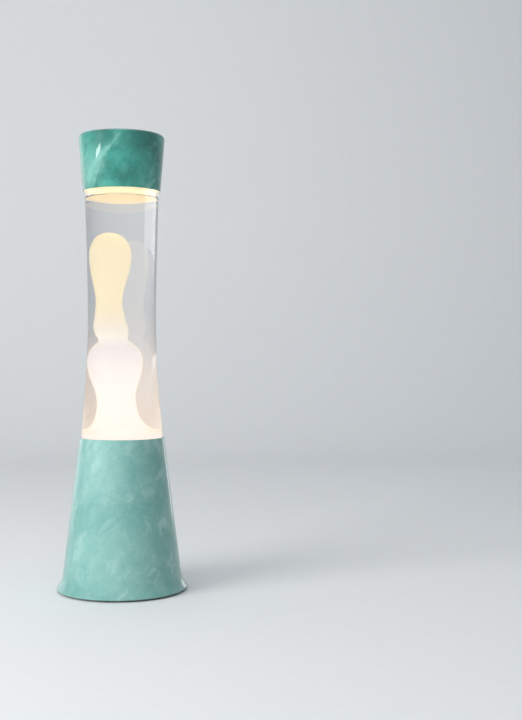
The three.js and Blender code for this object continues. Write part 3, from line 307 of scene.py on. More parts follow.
def radius_at(line, height):
    """The radius of an upward line at a height."""
    for a, b in zip(line, line[1:]):
        if a.y <= height <= b.y and b.y > a.y:
            return a.x + (b.x - a.x) * (height - a.y) / (b.y - a.y)
    return line[-1].x


def falling_radius_at(line, height):
    """The radius of a downward line at a height."""
    return radius_at(line[::-1], height)


def rounded(corners, radius, steps):
    """A closed outline with each corner that is off the axis rounded."""
    out = []
    for i, corner in enumerate(corners):
        before, after = corners[i - 1], corners[(i + 1) % len(corners)]
        if corner.x < 1e-7:
            out.append(corner)
            continue
        reach = min(radius, (before - corner).length * 0.45, (after - corner).length * 0.45)
        start = corner + (before - corner).normalized() * reach
        end = corner + (after - corner).normalized() * reach
        out.append(start)
        out += bezier(start, start + (corner - start) * 0.55, end + (corner - end) * 0.55, end, steps)
    return out


# ---- Meshes --------------------------------------------------------------------------------------------

# Edges sharper than this stay sharp.
CREASE = math.radians(35)


def piece(name, bm, smooth_angle=CREASE):
    """A linked object from a bmesh, with outward normals and smooth shading between its sharp edges."""
    bmesh.ops.recalc_face_normals(bm, faces=bm.faces)
    mesh = bpy.data.meshes.new(name)
    bm.to_mesh(mesh)
    bm.free()
    mesh.shade_smooth()
    mesh.set_sharp_from_angle(angle=smooth_angle)
    made = bpy.data.objects.new(name, mesh)
    bpy.context.scene.collection.objects.link(made)
    return made


def turned_bmesh(outline, sides, shape=None):
    """A closed surface turned round the axis. shape(point, angle, index) may move each point's ring."""
    bm = bmesh.new()
    rings = []
    for k, p in enumerate(outline):
        if abs(p.x) < 1e-7:
            rings.append([bm.verts.new((0.0, 0.0, p.y))])
            continue
        ring = []
        for i in range(sides):
            angle = TURN * i / sides
            q = shape(p, angle, k) if shape else p
            ring.append(bm.verts.new((q.x * math.cos(angle), q.x * math.sin(angle), q.y)))
        rings.append(ring)
    pairs = list(zip(rings, rings[1:]))
    if len(rings[0]) > 1 or len(rings[-1]) > 1:
        pairs.append((rings[-1], rings[0]))
    for low, high in pairs:
        for i in range(sides):
            j = (i + 1) % sides
            corners = [low[i % len(low)], low[j % len(low)], high[j % len(high)], high[i % len(high)]]
            kept = [v for n, v in enumerate(corners) if v not in corners[:n]]
            if len(kept) > 2:
                bm.faces.new(kept)
    return bm


def turned(name, outline, sides=None, shape=None, smooth_angle=CREASE):
    """A turned piece as an object."""
    sides = sides or bpy.context.scene.lava_lamp.sides
    return piece(name, turned_bmesh(outline, sides, shape), smooth_angle)


def closed_wire(points, radius, sides):
    """A round wire that runs through a closed loop of points round the lamp's axis."""
    bm = bmesh.new()
    angles = [TURN * k / sides for k in range(sides)]
    rings = []
    for i, point in enumerate(points):
        along = (points[(i + 1) % len(points)] - points[i - 1]).normalized()
        across = along.cross(Vector((0.0, 0.0, 1.0)).cross(point)).normalized()
        up = along.cross(across)
        ring = [point + radius * (across * math.cos(a) + up * math.sin(a)) for a in angles]
        rings.append([bm.verts.new(corner) for corner in ring])
    for i, ring in enumerate(rings):
        after = rings[(i + 1) % len(rings)]
        for k in range(sides):
            n = (k + 1) % sides
            bm.faces.new((ring[k], ring[n], after[n], after[k]))
    return bm


def cut_away(made, bm):
    """Takes a cutter bmesh away from a piece."""
    cutter = piece(f"{made.name}_cutter", bm)
    modifier = made.modifiers.new("cut", "BOOLEAN")
    modifier.object = cutter
    modifier.operation = "DIFFERENCE"
    modifier.solver = "EXACT"
    depsgraph = bpy.context.evaluated_depsgraph_get()
    mesh = bpy.data.meshes.new_from_object(made.evaluated_get(depsgraph))
    made.modifiers.remove(modifier)
    bpy.data.objects.remove(cutter)
    made.data = mesh
    mesh.shade_smooth()
    mesh.set_sharp_from_angle(angle=CREASE)


def groove(p, angle, pitch, depth):
    """A point of a threaded wall, sunk by the thread's depth where its groove comes round."""
    wave = 0.5 - 0.5 * math.cos(TURN * p.y / pitch - angle)
    return at(p.x - depth * wave, p.y)


def screw_outline(sizes, head, head_height, radius, shank):
    """The outline of a screw whose head hangs below level 0, its number of sides and its thread."""
    flat = at(head * 0.35, -head_height)
    shoulder = at(head * 0.8, -head_height)
    side = at(head, -head_height * 0.6)
    crown = bezier(flat, shoulder, side, at(head, -head_height * 0.2), 8)
    under = [at(head - 0.12 * MM, 0.0), at(radius, 0.0)]
    tip = min(radius * 0.6, shank * 0.4)
    rise = shank - tip
    steps = max(round(rise / sizes.thread_pitch * 6), 2)
    wall = [at(radius, rise * i / steps) for i in range(1, steps + 1)]
    first = 2 + len(crown) + len(under)

    def thread(p, angle, index):
        if first <= index < first + steps:
            return groove(p, angle, sizes.thread_pitch, sizes.thread_depth)
        return p

    outline = [at(0.0, -head_height), flat, *crown, *under, *wall]
    outline += [at(radius * 0.5, shank), at(0.0, shank)]
    return outline, 40, thread


def cross_recess(head, head_height):
    """A cutter for a cross recess that narrows into a head below level 0."""
    bm = bmesh.new()
    reach = head * 0.58
    half = head * 0.13
    depth = head_height * 0.7
    plan = []
    for quarter in range(4):
        turn = Matrix.Rotation(TURN / 4 * quarter, 2)
        plan += [turn @ Vector(corner) for corner in ((half, half), (half, reach), (-half, reach))]
    rings = []
    for narrowing, height in ((1.05, -head_height - 0.2 * MM), (0.55, -head_height + depth)):
        ring = [(p.x * narrowing, p.y * narrowing, height) for p in plan]
        rings.append([bm.verts.new(corner) for corner in ring])
    for ring in rings:
        bm.faces.new(ring)
    for i in range(len(plan)):
        j = (i + 1) % len(plan)
        bm.faces.new((rings[0][i], rings[0][j], rings[1][j], rings[1][i]))
    return bm


def fit(made, body, slot, material, *nodes):
    """Puts a piece on its body, in its finish, in place of the frame's nodes."""
    made.data.materials.clear()
    made.data.materials.append(material)
    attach(made, body)
    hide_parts(*nodes)
    return made


def faces_axis(face, limit=0.0):
    """Whether a face of a turned piece looks towards the lamp's axis."""
    outwards = face.normal.x * face.center.x + face.normal.y * face.center.y
    return outwards < limit * math.hypot(face.center.x, face.center.y)


def inner_faces(made, material, is_inner):
    """Gives a second finish to the faces that is_inner picks out."""
    made.data.materials.append(material)
    for face in made.data.polygons:
        if is_inner(face):
            face.material_index = 1


# ---- Node groups for the finishes ----------------------------------------------------------------------


def put(tree, kind, inputs=None, **settings):
    """Adds a node with its settings. Each input is set to a value or fed from another node's output."""
    made = tree.nodes.new(kind)
    for key, value in settings.items():
        setattr(made, key, value)
    for key, value in (inputs or {}).items():
        if isinstance(value, bpy.types.NodeSocket):
            tree.links.new(value, made.inputs[key])
        else:
            made.inputs[key].default_value = value
    return made


def new_group(name, inputs, outputs):
    """An empty node group with its sockets: each a name, a kind and, for an input, its first value."""
    tree = bpy.data.node_groups.new(name, "ShaderNodeTree")
    for socket, kind, value in inputs:
        made = tree.interface.new_socket(socket, in_out="INPUT", socket_type=f"NodeSocket{kind}")
        if value is not None:
            made.default_value = value
    for socket, kind in outputs:
        tree.interface.new_socket(socket, in_out="OUTPUT", socket_type=f"NodeSocket{kind}")
    given = tree.nodes.new("NodeGroupInput").outputs
    return tree, given, tree.nodes.new("NodeGroupOutput").inputs


def object_place(tree):
    """The place of a surface point on its piece."""
    return put(tree, "ShaderNodeTexCoord").outputs["Object"]


def noise(tree, place, scale, detail, roughness=0.5, output="Fac"):
    """Cloudy noise over a place."""
    inputs = {"Vector": place, "Scale": scale, "Detail": detail, "Roughness": roughness}
    return put(tree, "ShaderNodeTexNoise", inputs).outputs[output]


def ramp(tree, fac, low, high):
    """A number brought from low..high to 0..1 with soft ends."""
    inputs = {"Value": fac, "From Min": low, "From Max": high}
    return put(tree, "ShaderNodeMapRange", inputs, interpolation_type="SMOOTHSTEP").outputs["Result"]


def math_node(tree, operation, a, b=0.0, c=0.0):
    """The result of one arithmetic step."""
    return put(tree, "ShaderNodeMath", {0: a, 1: b, 2: c}, operation=operation).outputs[0]


def vector_node(tree, operation, a, b, c=(0.0, 0.0, 0.0), output="Vector"):
    """The result of one arithmetic step on vectors."""
    return put(tree, "ShaderNodeVectorMath", {0: a, 1: b, 2: c}, operation=operation).outputs[output]


def mix_colours(tree, fac, a, b):
    """One colour laid over another by a share."""
    node = put(tree, "ShaderNodeMix", data_type="RGBA")
    sockets = {"Factor_Float": fac, "A_Color": a, "B_Color": b}
    for socket in node.inputs:
        value = sockets.get(socket.identifier)
        if isinstance(value, bpy.types.NodeSocket):
            tree.links.new(value, socket)
        elif value is not None:
            socket.default_value = value
    return next(s for s in node.outputs if s.identifier == "Result_Color")


def marbling_group():
    """Cloudy enamel: broad pale clouds, slanting brushed streaks, fine specks, an orange-peel skin, and pale
    and deep patches at given places, a pale one of which may be a painted highlight.
    """
    tree, given, out = new_group(
        "Marbling",
        [
            ("Deep", "Color", (0.0, 0.2, 0.15, 1.0)),
            ("Middle", "Color", (0.1, 0.4, 0.3, 1.0)),
            ("Pale", "Color", (0.5, 0.7, 0.6, 1.0)),
            ("Place", "Vector", (0.0, 0.0, 0.0)),
            ("Cloud", "Float", 18.0),
            ("Pale Share", "Float", 0.5),
            ("Streaks", "Float", 0.4),
            ("Pale Patch", "Vector", (0.0, 0.0, 0.0)),
            ("Pale Patch Size", "Float", 0.03),
            ("Deep Patch", "Vector", (0.0, 0.0, 0.0)),
            ("Deep Patch Size", "Float", 0.03),
            ("Patch Strength", "Float", 0.5),
        ],
        [("Color", "Color"), ("Roughness", "Float"), ("Height", "Float")],
    )
    place = object_place(tree)
    moved = vector_node(tree, "ADD", place, given["Place"])
    swirls = noise(tree, moved, 26.0, 3.0, output="Color")
    warp = vector_node(tree, "SUBTRACT", swirls, (0.5, 0.5, 0.5))
    pushed = vector_node(tree, "MULTIPLY_ADD", warp, (0.028, 0.028, 0.028), moved)
    clouds = noise(tree, pushed, given["Cloud"], 5.0, 0.58)
    slanted = put(
        tree,
        "ShaderNodeMapping",
        {"Vector": pushed, "Rotation": (0.2, 0.62, 0.0), "Scale": (0.012, 0.012, 0.055)},
        vector_type="TEXTURE",
    ).outputs["Vector"]
    streaks = noise(tree, slanted, 1.0, 4.0, 0.62)
    grain = noise(tree, pushed, 150.0, 4.0, 0.7)

    def share_of(mask, part):
        return math_node(tree, "MULTIPLY", mask, part)

    def patch(kind):
        """A ragged round patch about a place on the lamp: part of the marbling, or a painted highlight where
        a pale patch stands in for light.
        """
        middle = vector_node(tree, "ADD", given[kind], given["Place"])
        away = vector_node(tree, "DISTANCE", pushed, middle, output="Value")
        near = math_node(tree, "DIVIDE", away, given[f"{kind} Size"])
        ragged = math_node(tree, "MULTIPLY_ADD", clouds, 3.0, near)
        return share_of(ramp(tree, ragged, 2.9, 1.3), given["Patch Strength"])

    ground = mix_colours(tree, ramp(tree, clouds, 0.36, 0.62), given["Deep"], given["Middle"])
    with_deep = mix_colours(tree, patch("Deep Patch"), ground, given["Deep"])
    not_pale = math_node(tree, "SUBTRACT", 1.0, given["Pale Share"])
    cloud_edge = math_node(tree, "MULTIPLY_ADD", not_pale, 0.4, 0.34)
    pale_mask = ramp(tree, math_node(tree, "SUBTRACT", clouds, cloud_edge), 0.0, 0.2)
    pale_places = math_node(tree, "MAXIMUM", pale_mask, patch("Pale Patch"))
    with_pale = mix_colours(tree, pale_places, with_deep, given["Pale"])
    pale_streaks = share_of(ramp(tree, streaks, 0.5, 0.74), given["Streaks"])
    with_streaks = mix_colours(tree, pale_streaks, with_pale, given["Pale"])
    dark_streaks = share_of(ramp(tree, streaks, 0.46, 0.26), given["Streaks"])
    streaked = mix_colours(tree, dark_streaks, with_streaks, given["Deep"])
    specks = share_of(ramp(tree, grain, 0.35, 0.75), 0.16)
    tree.links.new(mix_colours(tree, specks, streaked, given["Pale"]), out["Color"])

    rough = put(tree, "ShaderNodeMapRange", {"Value": grain, "To Min": 0.24, "To Max": 0.4})
    tree.links.new(rough.outputs["Result"], out["Roughness"])
    peel = noise(tree, place, 420.0, 2.0)
    tree.links.new(math_node(tree, "MULTIPLY_ADD", clouds, 0.3, peel), out["Height"])


def glow_group():
    """A colour that runs from one height on the lamp to another, with slow swirls in it."""
    tree, given, out = new_group(
        "Glow by height",
        [
            ("Low Color", "Color", (1.0, 1.0, 1.0, 1.0)),
            ("High Color", "Color", (0.5, 0.5, 0.5, 1.0)),
            ("Low Height", "Float", 0.12),
            ("High Height", "Float", 0.34),
            ("Swirl", "Float", 0.1),
        ],
        [("Color", "Color")],
    )
    place = object_place(tree)
    height = put(tree, "ShaderNodeSeparateXYZ", {"Vector": place}).outputs["Z"]
    uneven = math_node(tree, "SUBTRACT", noise(tree, place, 22.0, 2.0), 0.5)
    pushed = math_node(tree, "MULTIPLY_ADD", uneven, given["Swirl"], height)
    risen = ramp(tree, pushed, given["Low Height"], given["High Height"])
    tree.links.new(mix_colours(tree, risen, given["Low Color"], given["High Color"]), out["Color"])


def wear_group():
    """Fine scuffs, dust and handling marks, for metal, plastic and rubber."""
    tree, given, out = new_group(
        "Scuffs and dust",
        [
            ("Color", "Color", (0.5, 0.5, 0.5, 1.0)),
            ("Dust Color", "Color", (0.6, 0.58, 0.54, 1.0)),
            ("Amount", "Float", 0.3),
            ("Roughness", "Float", 0.4),
            ("Grain", "Float", 600.0),
        ],
        [("Color", "Color"), ("Roughness", "Float"), ("Height", "Float")],
    )
    place = object_place(tree)
    patches = noise(tree, place, 90.0, 5.0)
    drawn_out = put(tree, "ShaderNodeMapping", {"Vector": place, "Scale": (40.0, 900.0, 300.0)})
    scuffs = noise(tree, drawn_out.outputs["Vector"], 1.0, 3.0)
    dusty = math_node(tree, "MULTIPLY", ramp(tree, patches, 0.45, 0.75), given["Amount"])
    tree.links.new(mix_colours(tree, dusty, given["Color"], given["Dust Color"]), out["Color"])
    marks = math_node(tree, "MULTIPLY", ramp(tree, scuffs, 0.5, 0.8), given["Amount"])
    tree.links.new(math_node(tree, "MULTIPLY_ADD", marks, 0.35, given["Roughness"]), out["Roughness"])
    tree.links.new(noise(tree, place, given["Grain"], 2.0), out["Height"])


def turning_group():
    """Fine rings round the axis, as a spinning or turning tool leaves them."""
    tree, given, out = new_group(
        "Turning rings",
        [("Pitch", "Float", 0.0006)],
        [("Height", "Float")],
    )
    place = put(tree, "ShaderNodeSeparateXYZ", {"Vector": object_place(tree)})
    x, y, z = (place.outputs[axis] for axis in "XYZ")
    squares = math_node(tree, "MULTIPLY_ADD", x, x, math_node(tree, "MULTIPLY", y, y))
    run = math_node(tree, "ADD", math_node(tree, "SQRT", squares), z)
    turns = math_node(tree, "DIVIDE", run, given["Pitch"])
    rings = math_node(tree, "SINE", math_node(tree, "MULTIPLY", turns, TURN))
    along = {"W": turns, "Scale": 0.37, "Detail": 2.0}
    uneven = put(tree, "ShaderNodeTexNoise", along, noise_dimensions="1D").outputs["Fac"]
    tree.links.new(math_node(tree, "MULTIPLY", rings, uneven), out["Height"])


# ---- Finishes ------------------------------------------------------------------------------------------


def linear(rgb):
    """A colour property as four numbers."""
    return (*rgb, 1.0)


def new_finish(name, **sockets):
    """A material with a Principled shader whose sockets are set by name."""
    material = bpy.data.materials.new(name)
    material.use_nodes = True
    tree = material.node_tree
    shader = tree.nodes["Principled BSDF"]
    for key, value in sockets.items():
        shader.inputs[key.replace("_", " ").title().replace("Ior", "IOR")].default_value = value
    return material, tree, shader


def use_group(tree, name, inputs):
    """Places a node group in a material."""
    return put(tree, "ShaderNodeGroup", inputs, node_tree=bpy.data.node_groups[name])


def raise_bumps(tree, shader, height, strength, distance):
    """Feeds a height into the shader's normal through a bump."""
    bump = put(tree, "ShaderNodeBump", {"Height": height, "Strength": strength, "Distance": distance})
    tree.links.new(bump.outputs["Normal"], shader.inputs["Normal"])


def colour_and_roughness(tree, shader, group):
    """Feeds a group's colour and roughness into the shader."""
    tree.links.new(group.outputs["Color"], shader.inputs["Base Color"])
    tree.links.new(group.outputs["Roughness"], shader.inputs["Roughness"])


def enamel(name, deep, middle, pale, **marks):
    """Glossy marbled enamel."""
    material, tree, shader = new_finish(name, coat_weight=0.55, coat_roughness=0.02, coat_ior=1.5)
    inputs = {"Deep": linear(deep), "Middle": linear(middle), "Pale": linear(pale)}
    for key, value in marks.items():
        inputs[key.replace("_", " ").title()] = value
    marbling = use_group(tree, "Marbling", inputs)
    colour_and_roughness(tree, shader, marbling)
    raise_bumps(tree, shader, marbling.outputs["Height"], 0.12, 0.06 * MM)
    return material


def worn(name, rgb, roughness, dust, grain=600.0, bump=0.2, **sockets):
    """A plain finish with scuffs, dust and a grain."""
    material, tree, shader = new_finish(name, **sockets)
    inputs = {"Color": linear(rgb), "Amount": dust, "Roughness": roughness, "Grain": grain}
    wear = use_group(tree, "Scuffs and dust", inputs)
    colour_and_roughness(tree, shader, wear)
    raise_bumps(tree, shader, wear.outputs["Height"], bump, 0.04 * MM)
    return material


def spun(name, rgb, roughness, pitch, **sockets):
    """Bare metal with rings from the tool, at a pitch in millimetres."""
    material, tree, shader = new_finish(name, metallic=1.0, **sockets)
    inputs = {"Color": linear(rgb), "Amount": 0.2, "Roughness": roughness}
    colour_and_roughness(tree, shader, use_group(tree, "Scuffs and dust", inputs))
    rings = use_group(tree, "Turning rings", {"Pitch": pitch * MM})
    raise_bumps(tree, shader, rings.outputs["Height"], 0.25, 0.04 * MM)
    return material


def glow_colour(tree, low, high, start, end, swirl):
    """The colour of a glow that runs from low at one height to high at another."""
    inputs = {
        "Low Color": linear(low),
        "High Color": linear(high),
        "Low Height": start,
        "High Height": end,
        "Swirl": swirl,
    }
    return use_group(tree, "Glow by height", inputs).outputs["Color"]


def clear(name, rgb, ior, **sockets):
    """A clear solid or liquid."""
    return new_finish(
        name, base_color=linear(rgb), roughness=0.0, ior=ior, transmission_weight=1.0, **sockets
    )


GLASS_TINT = (0.985, 0.995, 0.99)


def glass_painted_glow(colours):
    """The glass over the liquid, with a painted glow that stands in for the light of the floating wax."""
    material, tree, shader = clear(
        "glass_painted_glow", GLASS_TINT, 1.5, emission_strength=colours.headspace_glow
    )
    level = LIQUID_HIGH.z
    glow = glow_colour(tree, colours.wax_top, BLACK, level + 2 * MM, level + 12 * MM, 3 * MM)
    tree.links.new(glow, shader.inputs["Emission Color"])
    return material


def glowing_liquid(colours):
    """The liquid, with a painted warm glow low down that stands in for the bulb's light scattered in it."""
    material, tree, shader = clear(
        "lit_liquid", colours.liquid_tint, 1.33, emission_strength=colours.liquid_glow
    )
    low = LIQUID_LOW.z
    high = low + (LIQUID_HIGH.z - low) * 0.6
    glow = glow_colour(tree, colours.liquid_low, colours.liquid_high, low, high, 30 * MM)
    tree.links.new(glow, shader.inputs["Emission Color"])
    return material


def frosted_bulb():
    """The bulb's frosted glass, lit from inside and brightest at its face."""
    material = worn("frosted_bulb", (0.9, 0.88, 0.83), 0.4, 0.05, coat_weight=0.6, emission_strength=1.25)
    tree = material.node_tree
    low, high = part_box("bulb_glass")
    start = low.z + (high.z - low.z) * 0.3
    glow = glow_colour(tree, (0.25, 0.14, 0.06), (1.0, 0.84, 0.6), start, high.z, 10 * MM)
    tree.links.new(glow, tree.nodes["Principled BSDF"].inputs["Emission Color"])
    return material


def striped_insulation(name, rgb, stripe):
    """Insulation with a second colour in a band along it."""
    material = worn(name, rgb, 0.45, 0.15, grain=800.0)
    tree = material.node_tree
    shader = tree.nodes["Principled BSDF"]
    base = shader.inputs["Base Color"].links[0].from_socket
    place = put(tree, "ShaderNodeMapping", {"Vector": object_place(tree), "Scale": (420.0, 420.0, 420.0)})
    waves = put(tree, "ShaderNodeTexWave", {"Vector": place.outputs["Vector"], "Scale": 1.0}).outputs["Fac"]
    band = ramp(tree, waves, 0.45, 0.55)
    tree.links.new(mix_colours(tree, band, base, linear(stripe)), shader.inputs["Base Color"])
    return material


def painted_glow_sheet(colours):
    """The bare metal inside the cap, with a painted glow near its open end that stands in for the light that
    the bottle throws on it.
    """
    material = spun("cap_inside", (0.62, 0.62, 0.6), 0.42, 0.9, emission_strength=0.8)
    tree = material.node_tree
    edge = CAP_LOW.z
    glow = glow_colour(tree, colours.wax_warm, BLACK, edge + 6 * MM, edge + 22 * MM, 4 * MM)
    tree.links.new(glow, tree.nodes["Principled BSDF"].inputs["Emission Color"])
    return material


def glowing_wax(name, colours, low, high):
    """Wax with a painted glow that stands in for the bulb's light in it: one colour near the bulb, another
    further up.
    """
    material, tree, shader = new_finish(
        name,
        base_color=linear(colours.wax_body),
        roughness=0.35,
        sheen_weight=0.35,
        sheen_roughness=0.4,
        emission_strength=colours.wax_glow,
    )
    rise = WAX_HIGH.z - WAX_LOW.z
    glow = glow_colour(tree, low, high, WAX_LOW.z + rise * 0.43, WAX_LOW.z + rise * 0.7, 20 * MM)
    # Painted rim glow: the emission turns to the rim colour where the wax turns away from the eye.
    turned_away = put(tree, "ShaderNodeLayerWeight", {"Blend": 0.3}).outputs["Facing"]
    rim = ramp(tree, turned_away, 0.35, 0.95)
    tree.links.new(mix_colours(tree, rim, glow, linear(colours.wax_rim)), shader.inputs["Emission Color"])
    raise_bumps(tree, shader, noise(tree, object_place(tree), 55.0, 2.0), 0.15, 0.8 * MM)
    return material


def make_finishes(colours):
    """Every finish of the lamp, by name."""
    return {
        "base_enamel": enamel(
            "base_enamel",
            colours.base_deep,
            colours.base_mid,
            colours.base_pale,
            place=(0.314, 0.114, 0.064),
            cloud=16.0,
            pale_share=0.3,
            streaks=0.4,
            pale_patch=(-0.024, -0.036, 0.106),
            pale_patch_size=0.03,
            deep_patch=(-0.036, -0.03, 0.05),
            deep_patch_size=0.03,
            patch_strength=0.24,
        ),
        "cap_enamel": enamel(
            "cap_enamel",
            colours.cap_deep,
            colours.cap_mid,
            colours.cap_pale,
            place=(0.05, 0.72, 0.45),
            cloud=30.0,
            pale_share=0.2,
            streaks=0.85,
            # The pale patch is a painted highlight: lighter enamel on the cap's far left, standing in for the
            # key light there.
            pale_patch=(-0.03, -0.018, 0.372),
            pale_patch_size=0.017,
            deep_patch=(0.016, -0.03, 0.378),
            deep_patch_size=0.022,
            patch_strength=0.6,
        ),
        "bare_sheet": spun("bare_sheet", (0.62, 0.62, 0.6), 0.42, 0.9),
        "cap_inside": painted_glow_sheet(colours),
        "bottle_glass": clear("bottle_glass", GLASS_TINT, 1.5)[0],
        "glass_painted_glow": glass_painted_glow(colours),
        "lit_liquid": glowing_liquid(colours),
        "lit_wax": glowing_wax("lit_wax", colours, colours.wax_hot, colours.wax_warm),
        "floating_wax": glowing_wax("floating_wax", colours, colours.wax_warm, colours.wax_top),
        "zinc": spun("zinc", (0.60, 0.61, 0.62), 0.36, 0.5),
        "brass": spun("brass", (0.72, 0.50, 0.20), 0.3, 0.4),
        "gold_lacquer": spun("gold_lacquer", (0.74, 0.55, 0.24), 0.24, 1.1, coat_weight=0.4),
        "rubber": worn("rubber", (0.018, 0.018, 0.019), 0.72, 0.08, grain=900.0, bump=0.35),
        "silicone": worn("silicone", (0.75, 0.76, 0.75), 0.42, 0.1, grain=500.0, coat_weight=0.2),
        "black_plastic": worn("black_plastic", (0.022, 0.023, 0.024), 0.5, 0.06, grain=1400.0, bump=0.4),
        "white_plastic": worn("white_plastic", (0.78, 0.77, 0.73), 0.42, 0.12, grain=1200.0),
        "ceramic": worn("ceramic", (0.82, 0.80, 0.75), 0.28, 0.1, grain=300.0, coat_weight=0.5),
        "frosted_bulb": frosted_bulb(),
        "tungsten": worn("tungsten", (0.2, 0.19, 0.18), 0.45, 0.1, metallic=1.0),
        "brown_insulation": worn("brown_insulation", (0.12, 0.045, 0.02), 0.45, 0.15, grain=800.0),
        "blue_insulation": worn("blue_insulation", (0.02, 0.09, 0.35), 0.45, 0.15, grain=800.0),
        "earth_insulation": striped_insulation(
            "earth_insulation", (0.05, 0.28, 0.04), (0.75, 0.62, 0.03)
        ),
    }


finishes = {}


def finish(name):
    """A finish that has been made. The frame has materials of its own, so Blender's names may differ."""
    return finishes[name]


# ---- Shapes of the lamp --------------------------------------------------------------------------------


def shell_outline(sizes):
    """The base shell from its mouth down its outside, round the rolled bead and up its inside."""
    bead = at(RIM_RADIUS - sizes.bead_radius, BASE_LOW.z + sizes.bead_radius)
    skirt_top = bead.y + sizes.skirt_height
    foot = at(RIM_RADIUS - sizes.skirt_width, skirt_top)
    mouth = at(sizes.mouth_radius, BASE_HIGH.z)
    slope = (foot.x - mouth.x) / (mouth.y - foot.y)
    meets = TURN / 4 - sizes.skirt_fall
    meet = bead + sizes.bead_radius * at(math.cos(meets), math.sin(meets))
    reach = sizes.skirt_height * 0.5
    along = at(-math.cos(sizes.skirt_fall), math.sin(sizes.skirt_fall)) * reach * 0.6
    straight = [mouth + (foot - mouth) * i / 12 for i in range(13)]
    skirt = bezier(foot, foot + at(slope * reach, -reach), meet + along, meet, 14)
    outside = straight + skirt
    inside = beside(outside, -sizes.sheet)
    wall_meets = meets + math.acos((sizes.bead_radius - sizes.sheet) / sizes.bead_radius)
    roll = arc(bead, sizes.bead_radius, meets, wall_meets - TURN, 40)
    lip = arc((outside[0] + inside[0]) / 2, sizes.sheet / 2, TURN / 2, 0, 6)[1:-1]
    lip = [at(p.x, p.y - sizes.sheet / 2) for p in lip]
    outline = outside[1:-1] + roll + inside[1:-1][::-1] + lip
    return outline, outside, slope


def inlet_place(outside, slope):
    """Where the grommet goes through the wall at the back, and the tilt of the wall there."""
    low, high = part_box("cord_grommet")
    height = (low.z + high.z) / 2
    turn = Matrix.Rotation(math.atan(slope) - TURN / 4, 4, "X")
    return Matrix.Translation((0.0, falling_radius_at(outside, height), height)) @ turn


def cap_outlines(sizes):
    """The cap's outside and inside, both from the open end to the axis."""
    edge = at(CAP_RADIUS - sizes.cap_edge_radius, CAP_HIGH.z - sizes.cap_edge_radius)
    open_end = at(sizes.cap_bottom_radius, CAP_LOW.z)
    shoulder = arc(edge, sizes.cap_edge_radius, 0, TURN / 4, 14)
    side = [open_end + (shoulder[0] - open_end) * i / 10 for i in range(10)]
    inner_shoulder = arc(edge, sizes.cap_edge_radius - sizes.sheet, 0, TURN / 4, 14)
    return side + shoulder, [open_end - at(sizes.sheet, 0), *inner_shoulder]


def bottle_outlines(shells, sizes):
    """The glass from the middle of its foot up to the neck, outside and inside."""
    foot = BOTTLE_RADIUS - sizes.foot_taper
    bottom = BOTTLE_LOW.z
    mouth = at(BOTTLE_RADIUS, BASE_HIGH.z)
    cap_bore = shells.cap_bottom_radius - shells.sheet
    top = at(cap_bore - sizes.running_gap, CAP_LOW.z + sizes.shoulder_above_edge)
    waist = at(sizes.waist_radius, sizes.waist_height)
    low = (waist.y - mouth.y) / 3
    high = (top.y - waist.y) / 3
    neck = at(sizes.neck_radius, top.y + sizes.shoulder_rise)
    edge = sizes.foot_edge
    rounding = arc(at(foot - edge, bottom + edge), edge, -TURN / 4, 0, 8)
    outside = [at(0.0, bottom), at(foot * 0.5, bottom), *rounding, mouth]
    leaves_mouth = mouth + at(-sizes.flare_low * low, low)
    outside += bezier(mouth, leaves_mouth, waist - at(0, low), waist, 28)
    nears_top = top - at(sizes.flare_high * high, high)
    outside += bezier(waist, waist + at(0, high), nears_top, top, 28)
    leaves_top = top + at(0, sizes.shoulder_rise * 0.7)
    nears_neck = neck - at(0, sizes.shoulder_rise * 0.35)
    outside += bezier(top, leaves_top, nears_neck, neck, 16)
    floor_top = bottom + sizes.floor
    inner_foot = foot - sizes.wall
    corner = arc(at(inner_foot - edge, floor_top + edge), edge, -TURN / 4, 0, 8)
    side = [
        p
        for p in beside(outside, sizes.wall)
        if p.y > floor_top + edge and p.x > sizes.neck_bore + MM and p.y < neck.y - 2 * MM
    ]
    inside = [at(0.0, floor_top), at(inner_foot * 0.5, floor_top), *corner, *side]
    return outside, [*inside, at(sizes.neck_bore, neck.y - MM)]


def neck_outline(sizes):
    """The neck and its bead, from the shoulder up and over to the bore."""
    neck = at(sizes.neck_radius, BOTTLE_HIGH.z)
    beaded = neck + at(sizes.neck_bead, 0)
    bore = at(sizes.neck_bore, BOTTLE_HIGH.z)
    under = neck - at(0, 4.4 * MM)
    below = beaded - at(0, 3.6 * MM)
    ring = bezier(under, under + at(0, 0.6 * MM), below, beaded - at(0, 2.6 * MM), 5)
    crest = beaded - at(0, 0.6 * MM)
    over = bezier(ring[-1], crest, neck + at(sizes.neck_bead * 0.5, 0), neck, 6)
    lip = bezier(neck, bore + at(0.6 * MM, 0), bore, bore - at(0, MM), 5)
    return [under, *ring, *over, *lip]


# Height and radius of the wax as shares of its column and of the bore, and how far its middle leans.
WAX_STATIONS = (
    (0.0, 0.985, 0.0),
    (0.012, 0.78, 0.03),
    (0.026, 0.615, 0.06),
    (0.055, 0.5, 0.09),
    (0.085, 0.445, 0.105),
    (0.12, 0.425, 0.12),
    (0.17, 0.44, 0.14),
    (0.21, 0.515, 0.155),
    (0.25, 0.6, 0.17),
    (0.29, 0.65, 0.175),
    (0.32, 0.655, 0.175),
    (0.355, 0.595, 0.175),
    (0.38, 0.46, 0.185),
    (0.393, 0.365, 0.2),
    (0.406, 0.36, 0.225),
    (0.425, 0.4, 0.25),
    (0.455, 0.415, 0.28),
    (0.49, 0.375, 0.3),
    (0.55, 0.32, 0.315),
    (0.61, 0.355, 0.31),
    (0.66, 0.425, 0.3),
    (0.71, 0.485, 0.285),
    (0.755, 0.505, 0.28),
    (0.79, 0.475, 0.282),
    (0.82, 0.385, 0.285),
    (0.84, 0.27, 0.29),
    (0.85, 0.12, 0.29),
)


